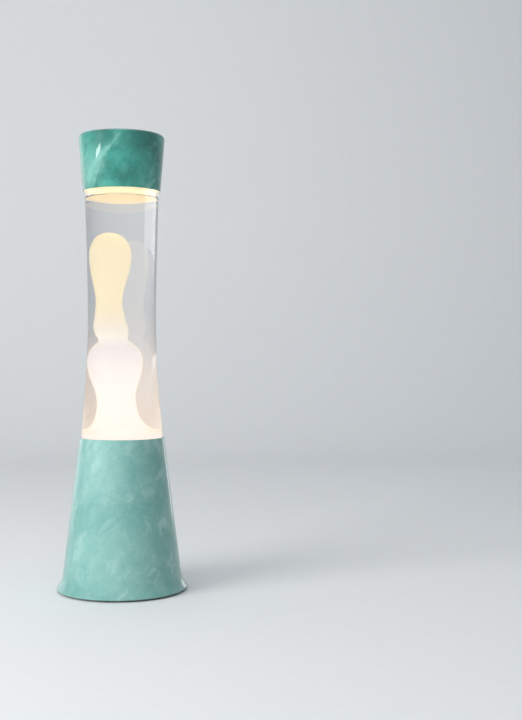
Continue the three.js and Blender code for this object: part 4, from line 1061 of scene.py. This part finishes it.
def wax_levels(sizes, inside):
    """The wax's outline with the sideways place of each level."""
    column_foot = BASE_HIGH.z + 2.5 * MM
    column = LIQUID_HIGH.z - column_foot
    tip = column_foot + 0.852 * column
    bottom = WAX_LOW.z
    corner = BOTTLE_LOW.z + sizes.floor + sizes.foot_edge
    pool = radius_at(inside, corner + MM) - sizes.fill_gap
    points = [
        at(0.0, bottom),
        at(pool - sizes.foot_edge, bottom),
        at(pool - MM, bottom + 0.4 * sizes.foot_edge),
        at(pool, corner),
        at(radius_at(inside, BASE_HIGH.z) - sizes.fill_gap, BASE_HIGH.z),
    ]
    leans = [0.0] * len(points)
    for rise, width, lean in WAX_STATIONS:
        height = column_foot + rise * column
        bore = radius_at(inside, height) - sizes.fill_gap
        points.append(at(width * bore, height))
        leans.append(-lean * bore)
    points.append(at(0.0, tip))
    leans.append(leans[-1])
    return points, leans


def lean_at(points, leans, height):
    """The sideways place of the wax's middle at a height."""
    heights = [p.y for p in points]
    for (a, b), (la, lb) in zip(zip(heights, heights[1:]), zip(leans, leans[1:])):
        if a <= height <= b and b > a:
            t = (height - a) / (b - a)
            t = t * t * (3 - 2 * t)
            return la + (lb - la) * t
    return leans[-1] if height > heights[-1] else leans[0]


def pressed_seat(shells, sizes):
    """The bottle's seat: a turned-down lip, a ledge, and a wall that follows the base."""
    low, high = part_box("bottle_seat_ring")
    outside = shell_outline(shells)[1]
    bottom = low.z + sizes.seat_lip
    lip = at(sizes.seat_radius, low.z)

    def wall(height):
        return falling_radius_at(outside, height) - shells.sheet - sizes.gap

    return [
        lip,
        lip + at(sizes.seat_sheet, 0),
        at(lip.x + sizes.seat_sheet, bottom),
        at(wall(bottom), bottom),
        at(wall(high.z), high.z),
        at(wall(high.z) - shells.sheet, high.z),
        at(wall(bottom) - shells.sheet, bottom + sizes.seat_sheet),
        at(lip.x, bottom + sizes.seat_sheet),
    ]


def moulded_holder(sizes):
    """The lamp holder: a chamber for the wires, the wall that carries the contacts, and the bulb's well."""
    low, high, radius = span("holder_body")
    socket_low, socket_high, socket_radius = span("socket_thread_shell")
    step = high.z - sizes.holder_head
    lower = radius - sizes.holder_step
    shelf_top = socket_low.z - sizes.gap
    shelf = shelf_top - sizes.holder_shelf
    chamber = lower - sizes.holder_wall
    floor = low.z + sizes.holder_wall
    bore = socket_radius + sizes.gap
    well = sizes.bulb_neck + sizes.holder_room
    well_floor = socket_high.z + sizes.gap
    nipple = span("threaded_nipple")[2] + sizes.gap
    return [
        at(nipple, low.z),
        at(lower, low.z),
        at(lower, step),
        at(radius, step + MM),
        at(radius, high.z),
        at(well, high.z),
        at(well, well_floor + MM),
        at(bore, well_floor),
        at(bore, shelf_top),
        at(sizes.contact_bore, shelf_top),
        at(sizes.contact_bore, shelf),
        at(chamber, shelf),
        at(chamber, floor),
        at(nipple, floor),
    ]


# ---- Operators -----------------------------------------------------------------------------------------


class LAVA_OT_finishes(bpy.types.Operator):
    """Makes the node groups and every finish"""

    bl_idname = "lava_lamp.finishes"
    bl_label = "Finishes"
    bl_options = {"REGISTER", "UNDO"}

    def execute(self, context):
        for make_group in (marbling_group, glow_group, wear_group, turning_group):
            make_group()
        finishes.update(make_finishes(context.scene.lava_lamp.colours))
        return {"FINISHED"}


class LAVA_OT_base_shell(bpy.types.Operator):
    """Spins the flared base shell, with its rolled bead and the hole for the grommet"""

    bl_idname = "lava_lamp.base_shell"
    bl_label = "Base Shell"
    bl_options = {"REGISTER", "UNDO"}

    def execute(self, context):
        lamp = context.scene.lava_lamp
        sizes = lamp.shells
        outline, outside, slope = shell_outline(sizes)
        shell = turned("base_shell_spun", outline)
        reach = sizes.inlet_radius
        corners = [at(0, -reach), at(reach, -reach), at(reach, reach), at(0, reach)]
        hole = turned_bmesh(corners, 48)
        bmesh.ops.transform(hole, matrix=inlet_place(outside, slope), verts=hole.verts)
        cut_away(shell, hole)
        fit(shell, "base", "marbled_base", finish("base_enamel"), "base_shell")
        bead_top = BASE_LOW.z + 3 * sizes.bead_radius
        inner_faces(
            shell,
            finish("bare_sheet"),
            lambda face: faces_axis(face, -0.2) and face.center.z > bead_top,
        )
        return {"FINISHED"}


class LAVA_OT_cap(bpy.types.Operator):
    """Spins the cap"""

    bl_idname = "lava_lamp.cap"
    bl_label = "Cap"
    bl_options = {"REGISTER", "UNDO"}

    def execute(self, context):
        lamp = context.scene.lava_lamp
        outside, inside = cap_outlines(lamp.shells)
        top = CAP_HIGH.z
        outline = [at(0, top - lamp.shells.sheet), *inside[::-1], *outside, at(0, top)]
        cap = turned("cap_shell_spun", outline)
        fit(cap, "cap", "marbled_cap", finish("cap_enamel"), "cap_shell")

        def faces_in(face):
            if face.normal.z < -0.9:
                return face.center.z > CAP_LOW.z + MM
            return faces_axis(face)

        # The cap's inside faces carry the painted glow near the open end.
        inner_faces(cap, finish("cap_inside"), faces_in)
        return {"FINISHED"}


class LAVA_OT_bottle(bpy.types.Operator):
    """Blows the waisted bottle with its floor, shoulder and beaded neck"""

    bl_idname = "lava_lamp.bottle"
    bl_label = "Bottle"
    bl_options = {"REGISTER", "UNDO"}

    def execute(self, context):
        lamp = context.scene.lava_lamp
        outside, inside = bottle_outlines(lamp.shells, lamp.bottle)
        outline = [*outside, *neck_outline(lamp.bottle), *inside[::-1]]
        bottle = turned("bottle_glass_blown", outline, smooth_angle=math.radians(60))
        fit(bottle, "bottle", "clear_glass", finish("bottle_glass"), "glass_bottle")

        def over_liquid(face):
            return faces_axis(face) and LIQUID_HIGH.z < face.center.z < CAP_LOW.z + 9 * MM

        # Painted glow on the glass's inside faces just over the liquid.
        inner_faces(bottle, finish("glass_painted_glow"), over_liquid)
        return {"FINISHED"}


class LAVA_OT_filling(bpy.types.Operator):
    """Pours the liquid with its meniscus, and shapes the wax column over its pool"""

    bl_idname = "lava_lamp.filling"
    bl_label = "Liquid and Wax"
    bl_options = {"REGISTER", "UNDO"}

    def execute(self, context):
        lamp = context.scene.lava_lamp
        inside = bottle_outlines(lamp.shells, lamp.bottle)[1]
        self.liquid(lamp.bottle, inside)
        self.wax(lamp.bottle, inside)
        self.floating_wax()
        return {"FINISHED"}

    def liquid(self, sizes, inside):
        level = LIQUID_HIGH.z
        wall = [p for p in beside(inside, -sizes.lap) if p.y < level and p.x > 0]
        edge = radius_at(inside, level)
        climb = [at(edge + sizes.lap, level + sizes.meniscus)]
        for i in range(1, 9):
            t = i / 8
            rise = sizes.meniscus * math.exp(-3.5 * t) * (1 - t)
            climb.append(at(edge - 4 * sizes.meniscus * t, level + rise))
        outline = [at(0.0, wall[0].y), *wall, *climb, at(edge * 0.5, level), at(0.0, level)]
        liquid = turned("liquid_poured", outline, smooth_angle=math.radians(60))
        fit(liquid, "bottle", "lamp_liquid", finish("lit_liquid"), "liquid")

    def wax(self, sizes, inside):
        points, leans = wax_levels(sizes, inside)
        outline = [at(max(p.x, 0.0), p.y) for p in smooth_through(points, 6)]
        outline[0].x = 0.0
        wax_bm = turned_bmesh(outline, 96)
        for v in wax_bm.verts:
            v.co.x += lean_at(points, leans, v.co.z)
        wax = piece("wax_risen", wax_bm, smooth_angle=math.radians(180))
        fit(wax, "bottle", "cream_wax", finish("lit_wax"), "wax")

    def floating_wax(self):
        low, high, radius = span("wax_lens")
        rounding = 0.25 * MM
        deep = high.z - low.z - 2 * rounding
        edge = arc(at(radius - rounding, high.z - rounding), rounding, -TURN / 4, TURN / 4, 6)
        under = [at(radius * i / 16, low.z + deep * (i / 16) ** 2) for i in range(16)]
        outline = [*under, *edge, at(0.0, high.z)]
        lens = turned("wax_floating", outline, smooth_angle=math.radians(80))
        fit(lens, "bottle", "cream_wax", finish("floating_wax"), "wax_lens")


class LAVA_OT_seat(bpy.types.Operator):
    """Presses the bottle's seat and moulds its gasket"""

    bl_idname = "lava_lamp.seat"
    bl_label = "Seat and Gasket"
    bl_options = {"REGISTER", "UNDO"}

    def execute(self, context):
        lamp = context.scene.lava_lamp
        sizes = lamp.fittings
        corners = pressed_seat(lamp.shells, sizes)
        seat = turned("seat_ring_pressed", rounded(corners, sizes.edge, 4))
        fit(seat, "base", "zinc_steel", finish("zinc"), "bottle_seat_ring")

        low, high, radius = span("seat_gasket")
        inner = sizes.seat_radius + 2 * MM
        groove_floor = at((inner + radius) / 2, high.z - 0.5 * MM)
        corners = [
            at(inner, low.z),
            at(radius, low.z),
            at(radius, high.z),
            groove_floor + at(0.7 * MM, 0.5 * MM),
            groove_floor,
            groove_floor + at(-0.7 * MM, 0.5 * MM),
            at(inner, high.z),
        ]
        gasket = turned("seat_gasket_moulded", rounded(corners, sizes.edge, 4))
        fit(gasket, "base", "clear_silicone", finish("silicone"), "seat_gasket")
        return {"FINISHED"}


class LAVA_OT_grommet(bpy.types.Operator):
    """Moulds the grommet of the cord's inlet and sets it in the wall"""

    bl_idname = "lava_lamp.grommet"
    bl_label = "Cord Grommet"
    bl_options = {"REGISTER", "UNDO"}

    def execute(self, context):
        lamp = context.scene.lava_lamp
        sizes = lamp.fittings
        outside, slope = shell_outline(lamp.shells)[1:]
        place = inlet_place(outside, slope)
        wall_radius = place.translation.y
        curve = wall_radius - math.sqrt(wall_radius**2 - sizes.grommet_radius**2)
        front = sizes.gap
        back = -lamp.shells.sheet - sizes.gap - curve
        stem = lamp.shells.inlet_radius - sizes.gap
        corners = [
            at(sizes.grommet_bore, back - sizes.grommet_flange),
            at(sizes.grommet_radius - sizes.inner_taper, back - sizes.grommet_flange),
            at(sizes.grommet_radius, back),
            at(stem, back),
            at(stem, front),
            at(sizes.grommet_radius, front),
            at(sizes.grommet_radius - sizes.outer_taper, front + sizes.grommet_flange * 0.9),
            at(sizes.grommet_bore, front + sizes.grommet_flange),
        ]
        grommet_bm = turned_bmesh(rounded(corners, sizes.edge, 5), 72)
        bmesh.ops.transform(grommet_bm, matrix=place, verts=grommet_bm.verts)
        grommet = piece("cord_grommet_moulded", grommet_bm)
        fit(grommet, "base", "black_rubber", finish("rubber"), "cord_grommet")
        return {"FINISHED"}


class LAVA_OT_feet(bpy.types.Operator):
    """Moulds the four feet, each with a grip ring under it"""

    bl_idname = "lava_lamp.feet"
    bl_label = "Feet"
    bl_options = {"REGISTER", "UNDO"}

    def execute(self, context):
        lamp = context.scene.lava_lamp
        hollow = lamp.fittings.foot_hollow
        for i in range(1, 5):
            low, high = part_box(f"rubber_foot_{i}")
            radius = (high.x - low.x) / 2
            height = high.z - low.z
            corners = [
                at(0.0, hollow),
                at(radius * 0.5, hollow),
                at(radius * 0.58, 0.0),
                at(radius - hollow, 0.0),
                at(radius, 0.9 * MM),
                at(radius, height),
                at(0.0, height),
            ]
            foot_bm = turned_bmesh(rounded(corners, lamp.fittings.edge, 4), 64)
            middle = Matrix.Translation(((low.x + high.x) / 2, (low.y + high.y) / 2, low.z))
            bmesh.ops.transform(foot_bm, matrix=middle, verts=foot_bm.verts)
            foot = piece(f"foot_moulded_{i}", foot_bm)
            fit(foot, "base", "black_rubber", finish("rubber"), f"rubber_foot_{i}")
        return {"FINISHED"}


class LAVA_OT_screws(bpy.types.Operator):
    """Turns the screws, with a rounded head, a cross recess and a rolled thread"""

    bl_idname = "lava_lamp.screws"
    bl_label = "Screws"
    bl_options = {"REGISTER", "UNDO"}

    # Each kind: its nodes, the head's height and the shank's radius in millimetres, the way that the head
    # points, its slot in the record and its finish.
    PLATE = ("plate_screw_1", "plate_screw_2", "plate_screw_3")
    BRIDGE = ("bridge_screw_1", "bridge_screw_2")
    TERMINAL = ("terminal_screw_live", "terminal_screw_neutral", "terminal_screw_earth")
    KINDS = (
        (PLATE, 1.8, 1.5, (0, 0, -1), "zinc_steel", "zinc"),
        (BRIDGE, 1.8, 1.5, (0, 0, -1), "zinc_steel", "zinc"),
        (("block_fixing_screw",), 1.4, 1.3, (0, 0, 1), "zinc_steel", "zinc"),
        (TERMINAL, 1.6, 1.2, (0, 0, 1), "brass", "brass"),
        (("earth_screw",), 1.6, 1.5, (1, 0, 0), "zinc_steel", "zinc"),
    )

    def execute(self, context):
        sizes = context.scene.lava_lamp.fittings
        for nodes, head_height, shank_radius, points_to, slot, name in self.KINDS:
            for node in nodes:
                made = self.screw(sizes, node, head_height * MM, shank_radius * MM, Vector(points_to))
                fit(made, "base", slot, finish(name), node)
        return {"FINISHED"}

    def screw(self, sizes, node, head_height, shank_radius, head_way):
        low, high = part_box(node)
        size = high - low
        head = max(size[i] for i in range(3) if abs(head_way[i]) < 0.5) / 2
        along = abs(size.dot(head_way))
        outline = screw_outline(sizes, head, head_height, shank_radius, along - head_height)
        made = turned(f"{node}_driven", *outline)
        cut_away(made, cross_recess(head, head_height))
        turn = (-head_way).to_track_quat("Z", "Y").to_matrix().to_4x4()
        seat = (low + high) / 2 + head_way * (along / 2 - head_height)
        made.data.transform(Matrix.Translation(seat) @ turn)
        return made


class LAVA_OT_bulb(bpy.types.Operator):
    """Blows the reflector bulb and rolls the threads of its cap and of the holder"""

    bl_idname = "lava_lamp.bulb"
    bl_label = "Bulb and Socket Threads"
    bl_options = {"REGISTER", "UNDO"}

    def execute(self, context):
        lamp = context.scene.lava_lamp
        sizes = lamp.fittings
        low, high, radius = span("bulb_glass")
        cap_high, cap_radius = span("bulb_screw_cap")[1:]
        cap_bore = cap_radius - sizes.bulb_thread - sizes.bulb_sheet
        start = at(cap_bore - sizes.gap - 0.1 * MM, cap_high.z + sizes.gap)
        neck = at(sizes.bulb_neck, cap_high.z + 8 * MM)
        face = at(radius, high.z - sizes.bulb_face)
        top = at(0.0, high.z)
        swells = at(neck.x, start.y + 1.2 * MM)
        outside = [at(start.x, low.z), start]
        outside += bezier(start, swells, swells + at(0, 1.5 * MM), neck, 10)
        outside += bezier(neck, neck + at(1.5 * MM, 8 * MM), face - at(0, 12 * MM), face, 24)
        outside += bezier(face, at(radius, high.z - 3 * MM), at(radius * 0.72, high.z), top, 20)
        inside = beside(outside, sizes.bulb_wall)
        inside[-1] = top - at(0, sizes.bulb_wall)
        inside[0] = outside[0] - at(sizes.bulb_wall, 0)
        glass = turned("bulb_blown", outside + inside[::-1], 96)
        fit(glass, "bulb", "frosted_glass", finish("frosted_bulb"), "bulb_glass")

        cap = self.rolled("bulb_cap_rolled", sizes, "bulb_screw_cap", cap_bore, sizes.bulb_thread)
        fit(cap, "bulb", "brass", finish("brass"), "bulb_screw_cap")
        bore = span("socket_thread_shell")[2] - sizes.socket_sheet
        socket = self.rolled("socket_rolled", sizes, "socket_thread_shell", bore, sizes.socket_thread)
        fit(socket, "base", "brass", finish("brass"), "socket_thread_shell")
        return {"FINISHED"}

    def rolled(self, name, sizes, node, bore, depth):
        """A tube in a node's place, with a thread rolled into its outside that runs out at both ends."""
        low, high, radius = span(node)
        bottom = low.z
        top = high.z
        pitch = sizes.bulb_pitch
        steps = 12 * round((top - bottom) / pitch)
        wall = [at(radius, bottom + (top - bottom) * i / steps) for i in range(steps + 1)]

        def thread(p, angle, index):
            if index > steps:
                return p
            ends = min(p.y - bottom, top - p.y, pitch / 2) / (pitch / 2)
            wave = 0.5 + 0.5 * math.cos(TURN * p.y / pitch - angle)
            return at(p.x - depth * (1 - wave * ends), p.y)

        return turned(name, [*wall, at(bore, top), at(bore, bottom)], 72, thread)


class LAVA_OT_holder(bpy.types.Operator):
    """Moulds the lamp holder and turns the threaded nipple that carries it"""

    bl_idname = "lava_lamp.holder"
    bl_label = "Lamp Holder"
    bl_options = {"REGISTER", "UNDO"}

    def execute(self, context):
        lamp = context.scene.lava_lamp
        sizes = lamp.fittings
        corners = moulded_holder(sizes)
        holder = turned("holder_moulded", rounded(corners, sizes.holder_edge, 5), 96)
        fit(holder, "base", "white_ceramic", finish("ceramic"), "holder_body")

        low, high, radius = span("threaded_nipple")
        steps = 8 * round((high.z - low.z) / sizes.nipple_pitch)
        outline = [at(radius, low.z + (high.z - low.z) * i / steps) for i in range(steps + 1)]
        outline += [at(sizes.nipple_bore, high.z), at(sizes.nipple_bore, low.z)]

        def thread(p, angle, index):
            if index > steps:
                return p
            return groove(p, angle, sizes.nipple_pitch, sizes.nipple_thread)

        nipple = turned("nipple_threaded", outline, 60, thread)
        fit(nipple, "base", "brass", finish("brass"), "threaded_nipple")
        return {"FINISHED"}


class LAVA_OT_closure(bpy.types.Operator):
    """Presses the fluted crown closure over its liner"""

    bl_idname = "lava_lamp.closure"
    bl_label = "Crown Closure"
    bl_options = {"REGISTER", "UNDO"}

    def execute(self, context):
        lamp = context.scene.lava_lamp
        sizes = lamp.fittings
        low, high, radius = span("crown_closure")
        top = at(radius - sizes.closure_top, high.z)
        rolled_to = top - at(0, sizes.closure_drop)
        dished = high.z - 0.25 * MM
        outside = [at(0.0, dished), at(top.x * 0.62, dished), at(top.x * 0.72, high.z)]
        turns_down = top - at(0, sizes.closure_drop * 0.4)
        outside += bezier(top - at(2.2 * MM, 0), top - at(0.6 * MM, 0), turns_down, rolled_to, 8)
        outside += [rolled_to + (at(radius, low.z) - rolled_to) * i / 10 for i in range(1, 11)]
        inside = beside(outside, -sizes.closure_sheet)
        inside[0] = at(0.0, dished - sizes.closure_sheet)

        def fluted(p, angle, index):
            grip = min(max((rolled_to.y - p.y) / (rolled_to.y - low.z), 0.0), 1.0)
            wave = 0.5 - 0.5 * math.cos(sizes.closure_flutes * angle)
            return at(p.x - sizes.flute_depth * wave * grip**0.7, p.y)

        sides = sizes.closure_flutes * 12
        closure = turned("closure_pressed", outside + inside[::-1], sides, fluted)
        fit(closure, "bottle", "gold_tinplate", finish("gold_lacquer"), "crown_closure")

        low, high, radius = span("closure_liner")
        corners = [at(0.0, low.z), at(radius, low.z), at(radius, high.z), at(0.0, high.z)]
        liner = turned("liner_cut", rounded(corners, sizes.edge, 4), 96)
        fit(liner, "bottle", "white_plastic", finish("white_plastic"), "closure_liner")
        return {"FINISHED"}


class LAVA_OT_insert(bpy.types.Operator):
    """Moulds the ring inside the cap that keeps it level on the bottle's shoulder"""

    bl_idname = "lava_lamp.insert"
    bl_label = "Cap Insert"
    bl_options = {"REGISTER", "UNDO"}

    def execute(self, context):
        lamp = context.scene.lava_lamp
        sizes = lamp.fittings
        low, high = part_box("cap_insert")
        deck = high.z - sizes.insert_rim
        slope = (CAP_RADIUS - lamp.shells.cap_bottom_radius) / (CAP_HIGH.z - CAP_LOW.z)
        inner = sizes.collar_radius - sizes.insert_sheet

        def rim(height):
            clear = lamp.shells.sheet + sizes.gap
            return lamp.shells.cap_bottom_radius - clear + slope * (height - CAP_LOW.z)

        corners = [
            at(inner, low.z),
            at(sizes.collar_radius, low.z),
            at(sizes.collar_radius, deck),
            at(rim(deck), deck),
            at(rim(high.z), high.z),
            at(rim(high.z) - sizes.insert_sheet, high.z),
            at(rim(deck) - sizes.insert_sheet, deck + sizes.insert_sheet),
            at(sizes.insert_hole, deck + sizes.insert_sheet),
            at(sizes.insert_hole, deck),
            at(inner, deck),
        ]
        insert = turned("cap_insert_moulded", rounded(corners, sizes.edge, 3))
        fit(insert, "cap", "white_plastic", finish("white_plastic"), "cap_insert")
        return {"FINISHED"}


class LAVA_OT_coil(bpy.types.Operator):
    """Winds the heat coil that lies on the bottle's floor"""

    bl_idname = "lava_lamp.coil"
    bl_label = "Heat Coil"
    bl_options = {"REGISTER", "UNDO"}

    def execute(self, context):
        lamp = context.scene.lava_lamp
        sizes = lamp.fittings
        low, high, radius = span("heat_coil")
        reach = (high.z - low.z) / 2
        middle = (low.z + high.z) / 2
        winding = reach - sizes.coil_wire
        steps = 12
        points = []
        for i in range(sizes.coil_turns * steps):
            round_axis = TURN * i / (sizes.coil_turns * steps)
            round_wire = TURN * i / steps
            r = radius - reach + winding * math.cos(round_wire)
            z = middle + winding * math.sin(round_wire)
            points.append(Vector((r * math.cos(round_axis), r * math.sin(round_axis), z)))
        coil = piece("heat_coil_wound", closed_wire(points, sizes.coil_wire, 6), math.radians(80))
        fit(coil, "bottle", "zinc_steel", finish("zinc"), "heat_coil")
        return {"FINISHED"}


class LAVA_OT_carried_over(bpy.types.Operator):
    """Gives every fitting that keeps the frame's own shape its finish"""

    bl_idname = "lava_lamp.carried_over"
    bl_label = "Fittings"
    bl_options = {"REGISTER", "UNDO"}

    FINISHES = {
        "zinc": ("plate_lug_1", "plate_lug_2", "plate_lug_3", "holder_bridge", "nipple_nut"),
        "brass": ("socket_tongue", "bulb_tip_contact", "earth_tag"),
        "black_plastic": ("bottom_plate", "bulb_insulator"),
        "white_plastic": ("terminal_block",),
        "bottle_glass": ("bulb_stem",),
        "tungsten": ("bulb_filament",),
        "brown_insulation": ("lead_live",),
        "blue_insulation": ("lead_neutral",),
        "earth_insulation": ("lead_earth",),
    }

    # Rounding of the edges of pressed and moulded fittings, in millimetres.
    ROUNDED = {
        "bottom_plate": 0.25,
        "plate_lug_1": 0.15,
        "plate_lug_2": 0.15,
        "plate_lug_3": 0.15,
        "holder_bridge": 0.15,
        "nipple_nut": 0.2,
        "terminal_block": 0.25,
    }

    def execute(self, context):
        for name, nodes in self.FINISHES.items():
            for node in nodes:
                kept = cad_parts[node]
                kept.data.materials.clear()
                kept.data.materials.append(finish(name))
        for node, width in self.ROUNDED.items():
            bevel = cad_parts[node].modifiers.new("edges", "BEVEL")
            bevel.width = width * MM
            bevel.segments = 2
            bevel.limit_method = "ANGLE"
            bevel.angle_limit = math.radians(40)
        return {"FINISHED"}


class LAVA_OT_studio(bpy.types.Operator):
    """Lays the floor and the backdrop, and sets the lights and the camera"""

    bl_idname = "lava_lamp.studio"
    bl_label = "Studio"
    bl_options = {"REGISTER", "UNDO"}

    def execute(self, context):
        studio = context.scene.lava_lamp.studio
        self.backdrop(studio)
        self.lights(studio)
        self.camera(studio)
        return {"FINISHED"}

    def backdrop(self, studio):
        """A sheet of paper: the floor, a round bend and the wall behind."""
        near = -2.6
        half_width = 3.0
        wall_top = 3.0
        bend = 0.5
        back = studio.wall_distance
        angles = [TURN / 4 * i / 12 for i in range(13)]
        line = [(near, 0.0)]
        line += [(back - bend + bend * math.sin(a), bend - bend * math.cos(a)) for a in angles]
        line.append((back, wall_top))
        bm = bmesh.new()
        left = [bm.verts.new((-half_width, y, z)) for y, z in line]
        right = [bm.verts.new((half_width, y, z)) for y, z in line]
        for i in range(len(line) - 1):
            bm.faces.new((left[i], right[i], right[i + 1], left[i + 1]))
        sweep = piece("studio_sweep", bm, math.radians(60))
        paper = worn("studio_paper", (0.86, 0.86, 0.855), 0.85, 0.05, grain=60.0, bump=0.05)
        sweep.data.materials.append(paper)

    def lights(self, studio):
        """Soft panels and the light from all round."""
        shells = ("base_shell_spun", "cap_shell_spun")
        middle = (0.0, 0.0, 0.2)
        self.panel("key_softbox", (-1.1, -0.75, 0.55), middle, (0.9, 1.1), studio.key_power, shines=False)
        self.panel("front_fill", (-0.3, -1.9, 1.0), middle, (1.6, 1.2), studio.fill_power, shines=False)
        self.panel("overhead", (-0.2, 0.1, 1.7), (-0.1, 0.1, 0.0), (1.6, 1.4), studio.top_power)

        def reflected(name, place, aim, size, power, shines_on):
            self.panel(name, place, aim, size, power, shades=False, shines_on=shines_on)

        left = (-0.45, 0.56, 0.2)
        reflected("left_edge_panel", left, middle, (0.36, 0.9), studio.edge_power, shells)
        right = (0.42, 0.62, 0.2)
        reflected("right_edge_panel", right, middle, (0.12, 0.9), studio.rim_power, shells[:1])
        for i, (part, height) in enumerate(((0.55, 0.09), (0.25, 0.13), (0.2, 0.18))):
            place = (0.78, 0.2, 0.4 - height * 0.2)
            aim = (0.0, 0.0, place[2])
            power = studio.strip_power * part
            reflected(f"glass_panel_{i}", place, aim, (0.9, height), power, ("bottle_glass_blown",))
        window = (-0.92, -0.41, 0.408)
        cap_middle = (0.0, 0.0, 0.385)
        reflected("window", window, cap_middle, (0.3, 0.012), studio.window_power, shells[1:])

        world = bpy.data.worlds.new("studio_world")
        world.use_nodes = True
        background = world.node_tree.nodes["Background"]
        background.inputs["Color"].default_value = (0.80, 0.88, 0.96, 1.0)
        background.inputs["Strength"].default_value = studio.surround
        bpy.context.scene.world = world

    def panel(self, name, place, aim, size, power, shades=True, shines=True, shines_on=()):
        """A soft panel that shows in the shading, in the reflections or in both, on all or on some pieces."""
        data = bpy.data.lights.new(name, "AREA")
        data.shape = "RECTANGLE"
        data.size, data.size_y = size
        data.energy = power
        made = bpy.data.objects.new(name, data)
        made.location = place
        made.rotation_euler = (Vector(aim) - Vector(place)).to_track_quat("-Z", "Y").to_euler()
        made.visible_camera = False
        made.visible_transmission = False
        made.visible_diffuse = shades
        made.visible_glossy = shines
        bpy.context.scene.collection.objects.link(made)
        if shines_on:
            receivers = bpy.data.collections.new(f"{name}_receivers")
            made.light_linking.receiver_collection = receivers
            for lit in shines_on:
                receivers.objects.link(bpy.data.objects[lit])

    def camera(self, studio):
        data = bpy.data.cameras.new("studio_camera")
        data.lens = studio.lens
        camera = bpy.data.objects.new("studio_camera", data)
        camera.location = (0.0, -studio.eye_distance, studio.eye_height)
        camera.rotation_euler = (TURN / 4 - studio.tilt, 0.0, -studio.pan)
        bpy.context.scene.collection.objects.link(camera)
        bpy.context.scene.camera = camera
        bpy.context.scene.view_settings.view_transform = "Standard"


class LAVA_PT_panel(bpy.types.Panel):
    """Lists the lamp's pieces in the order in which they are made"""

    bl_idname = "LAVA_PT_panel"
    bl_label = "Lava Lamp"
    bl_space_type = "VIEW_3D"
    bl_region_type = "UI"
    bl_category = "Lava Lamp"

    def draw(self, context):
        for operator in OPERATORS:
            self.layout.operator(operator.bl_idname)
        for group in ("shells", "bottle", "fittings", "colours", "studio"):
            box = self.layout.box()
            box.label(text=group.title())
            settings = getattr(context.scene.lava_lamp, group)
            for name in settings.bl_rna.properties.keys():
                if name not in {"rna_type", "name"}:
                    box.prop(settings, name)


GROUPS = (ShellSizes, BottleSizes, FittingSizes, LampColours, StudioSizes, LavaLamp)
OPERATORS = (
    LAVA_OT_finishes,
    LAVA_OT_base_shell,
    LAVA_OT_cap,
    LAVA_OT_bottle,
    LAVA_OT_filling,
    LAVA_OT_coil,
    LAVA_OT_closure,
    LAVA_OT_insert,
    LAVA_OT_seat,
    LAVA_OT_bulb,
    LAVA_OT_holder,
    LAVA_OT_grommet,
    LAVA_OT_feet,
    LAVA_OT_screws,
    LAVA_OT_carried_over,
    LAVA_OT_studio,
)


def register():
    for made in (*GROUPS, *OPERATORS, LAVA_PT_panel):
        bpy.utils.register_class(made)
    bpy.types.Scene.lava_lamp = PointerProperty(type=LavaLamp)


def unregister():
    del bpy.types.Scene.lava_lamp
    for made in reversed((*GROUPS, *OPERATORS, LAVA_PT_panel)):
        bpy.utils.unregister_class(made)


def main():
    register()
    for operator in OPERATORS:
        make = getattr(bpy.ops.lava_lamp, operator.bl_idname.removeprefix("lava_lamp."))
        make()


if __name__ == "__main__":
    main()
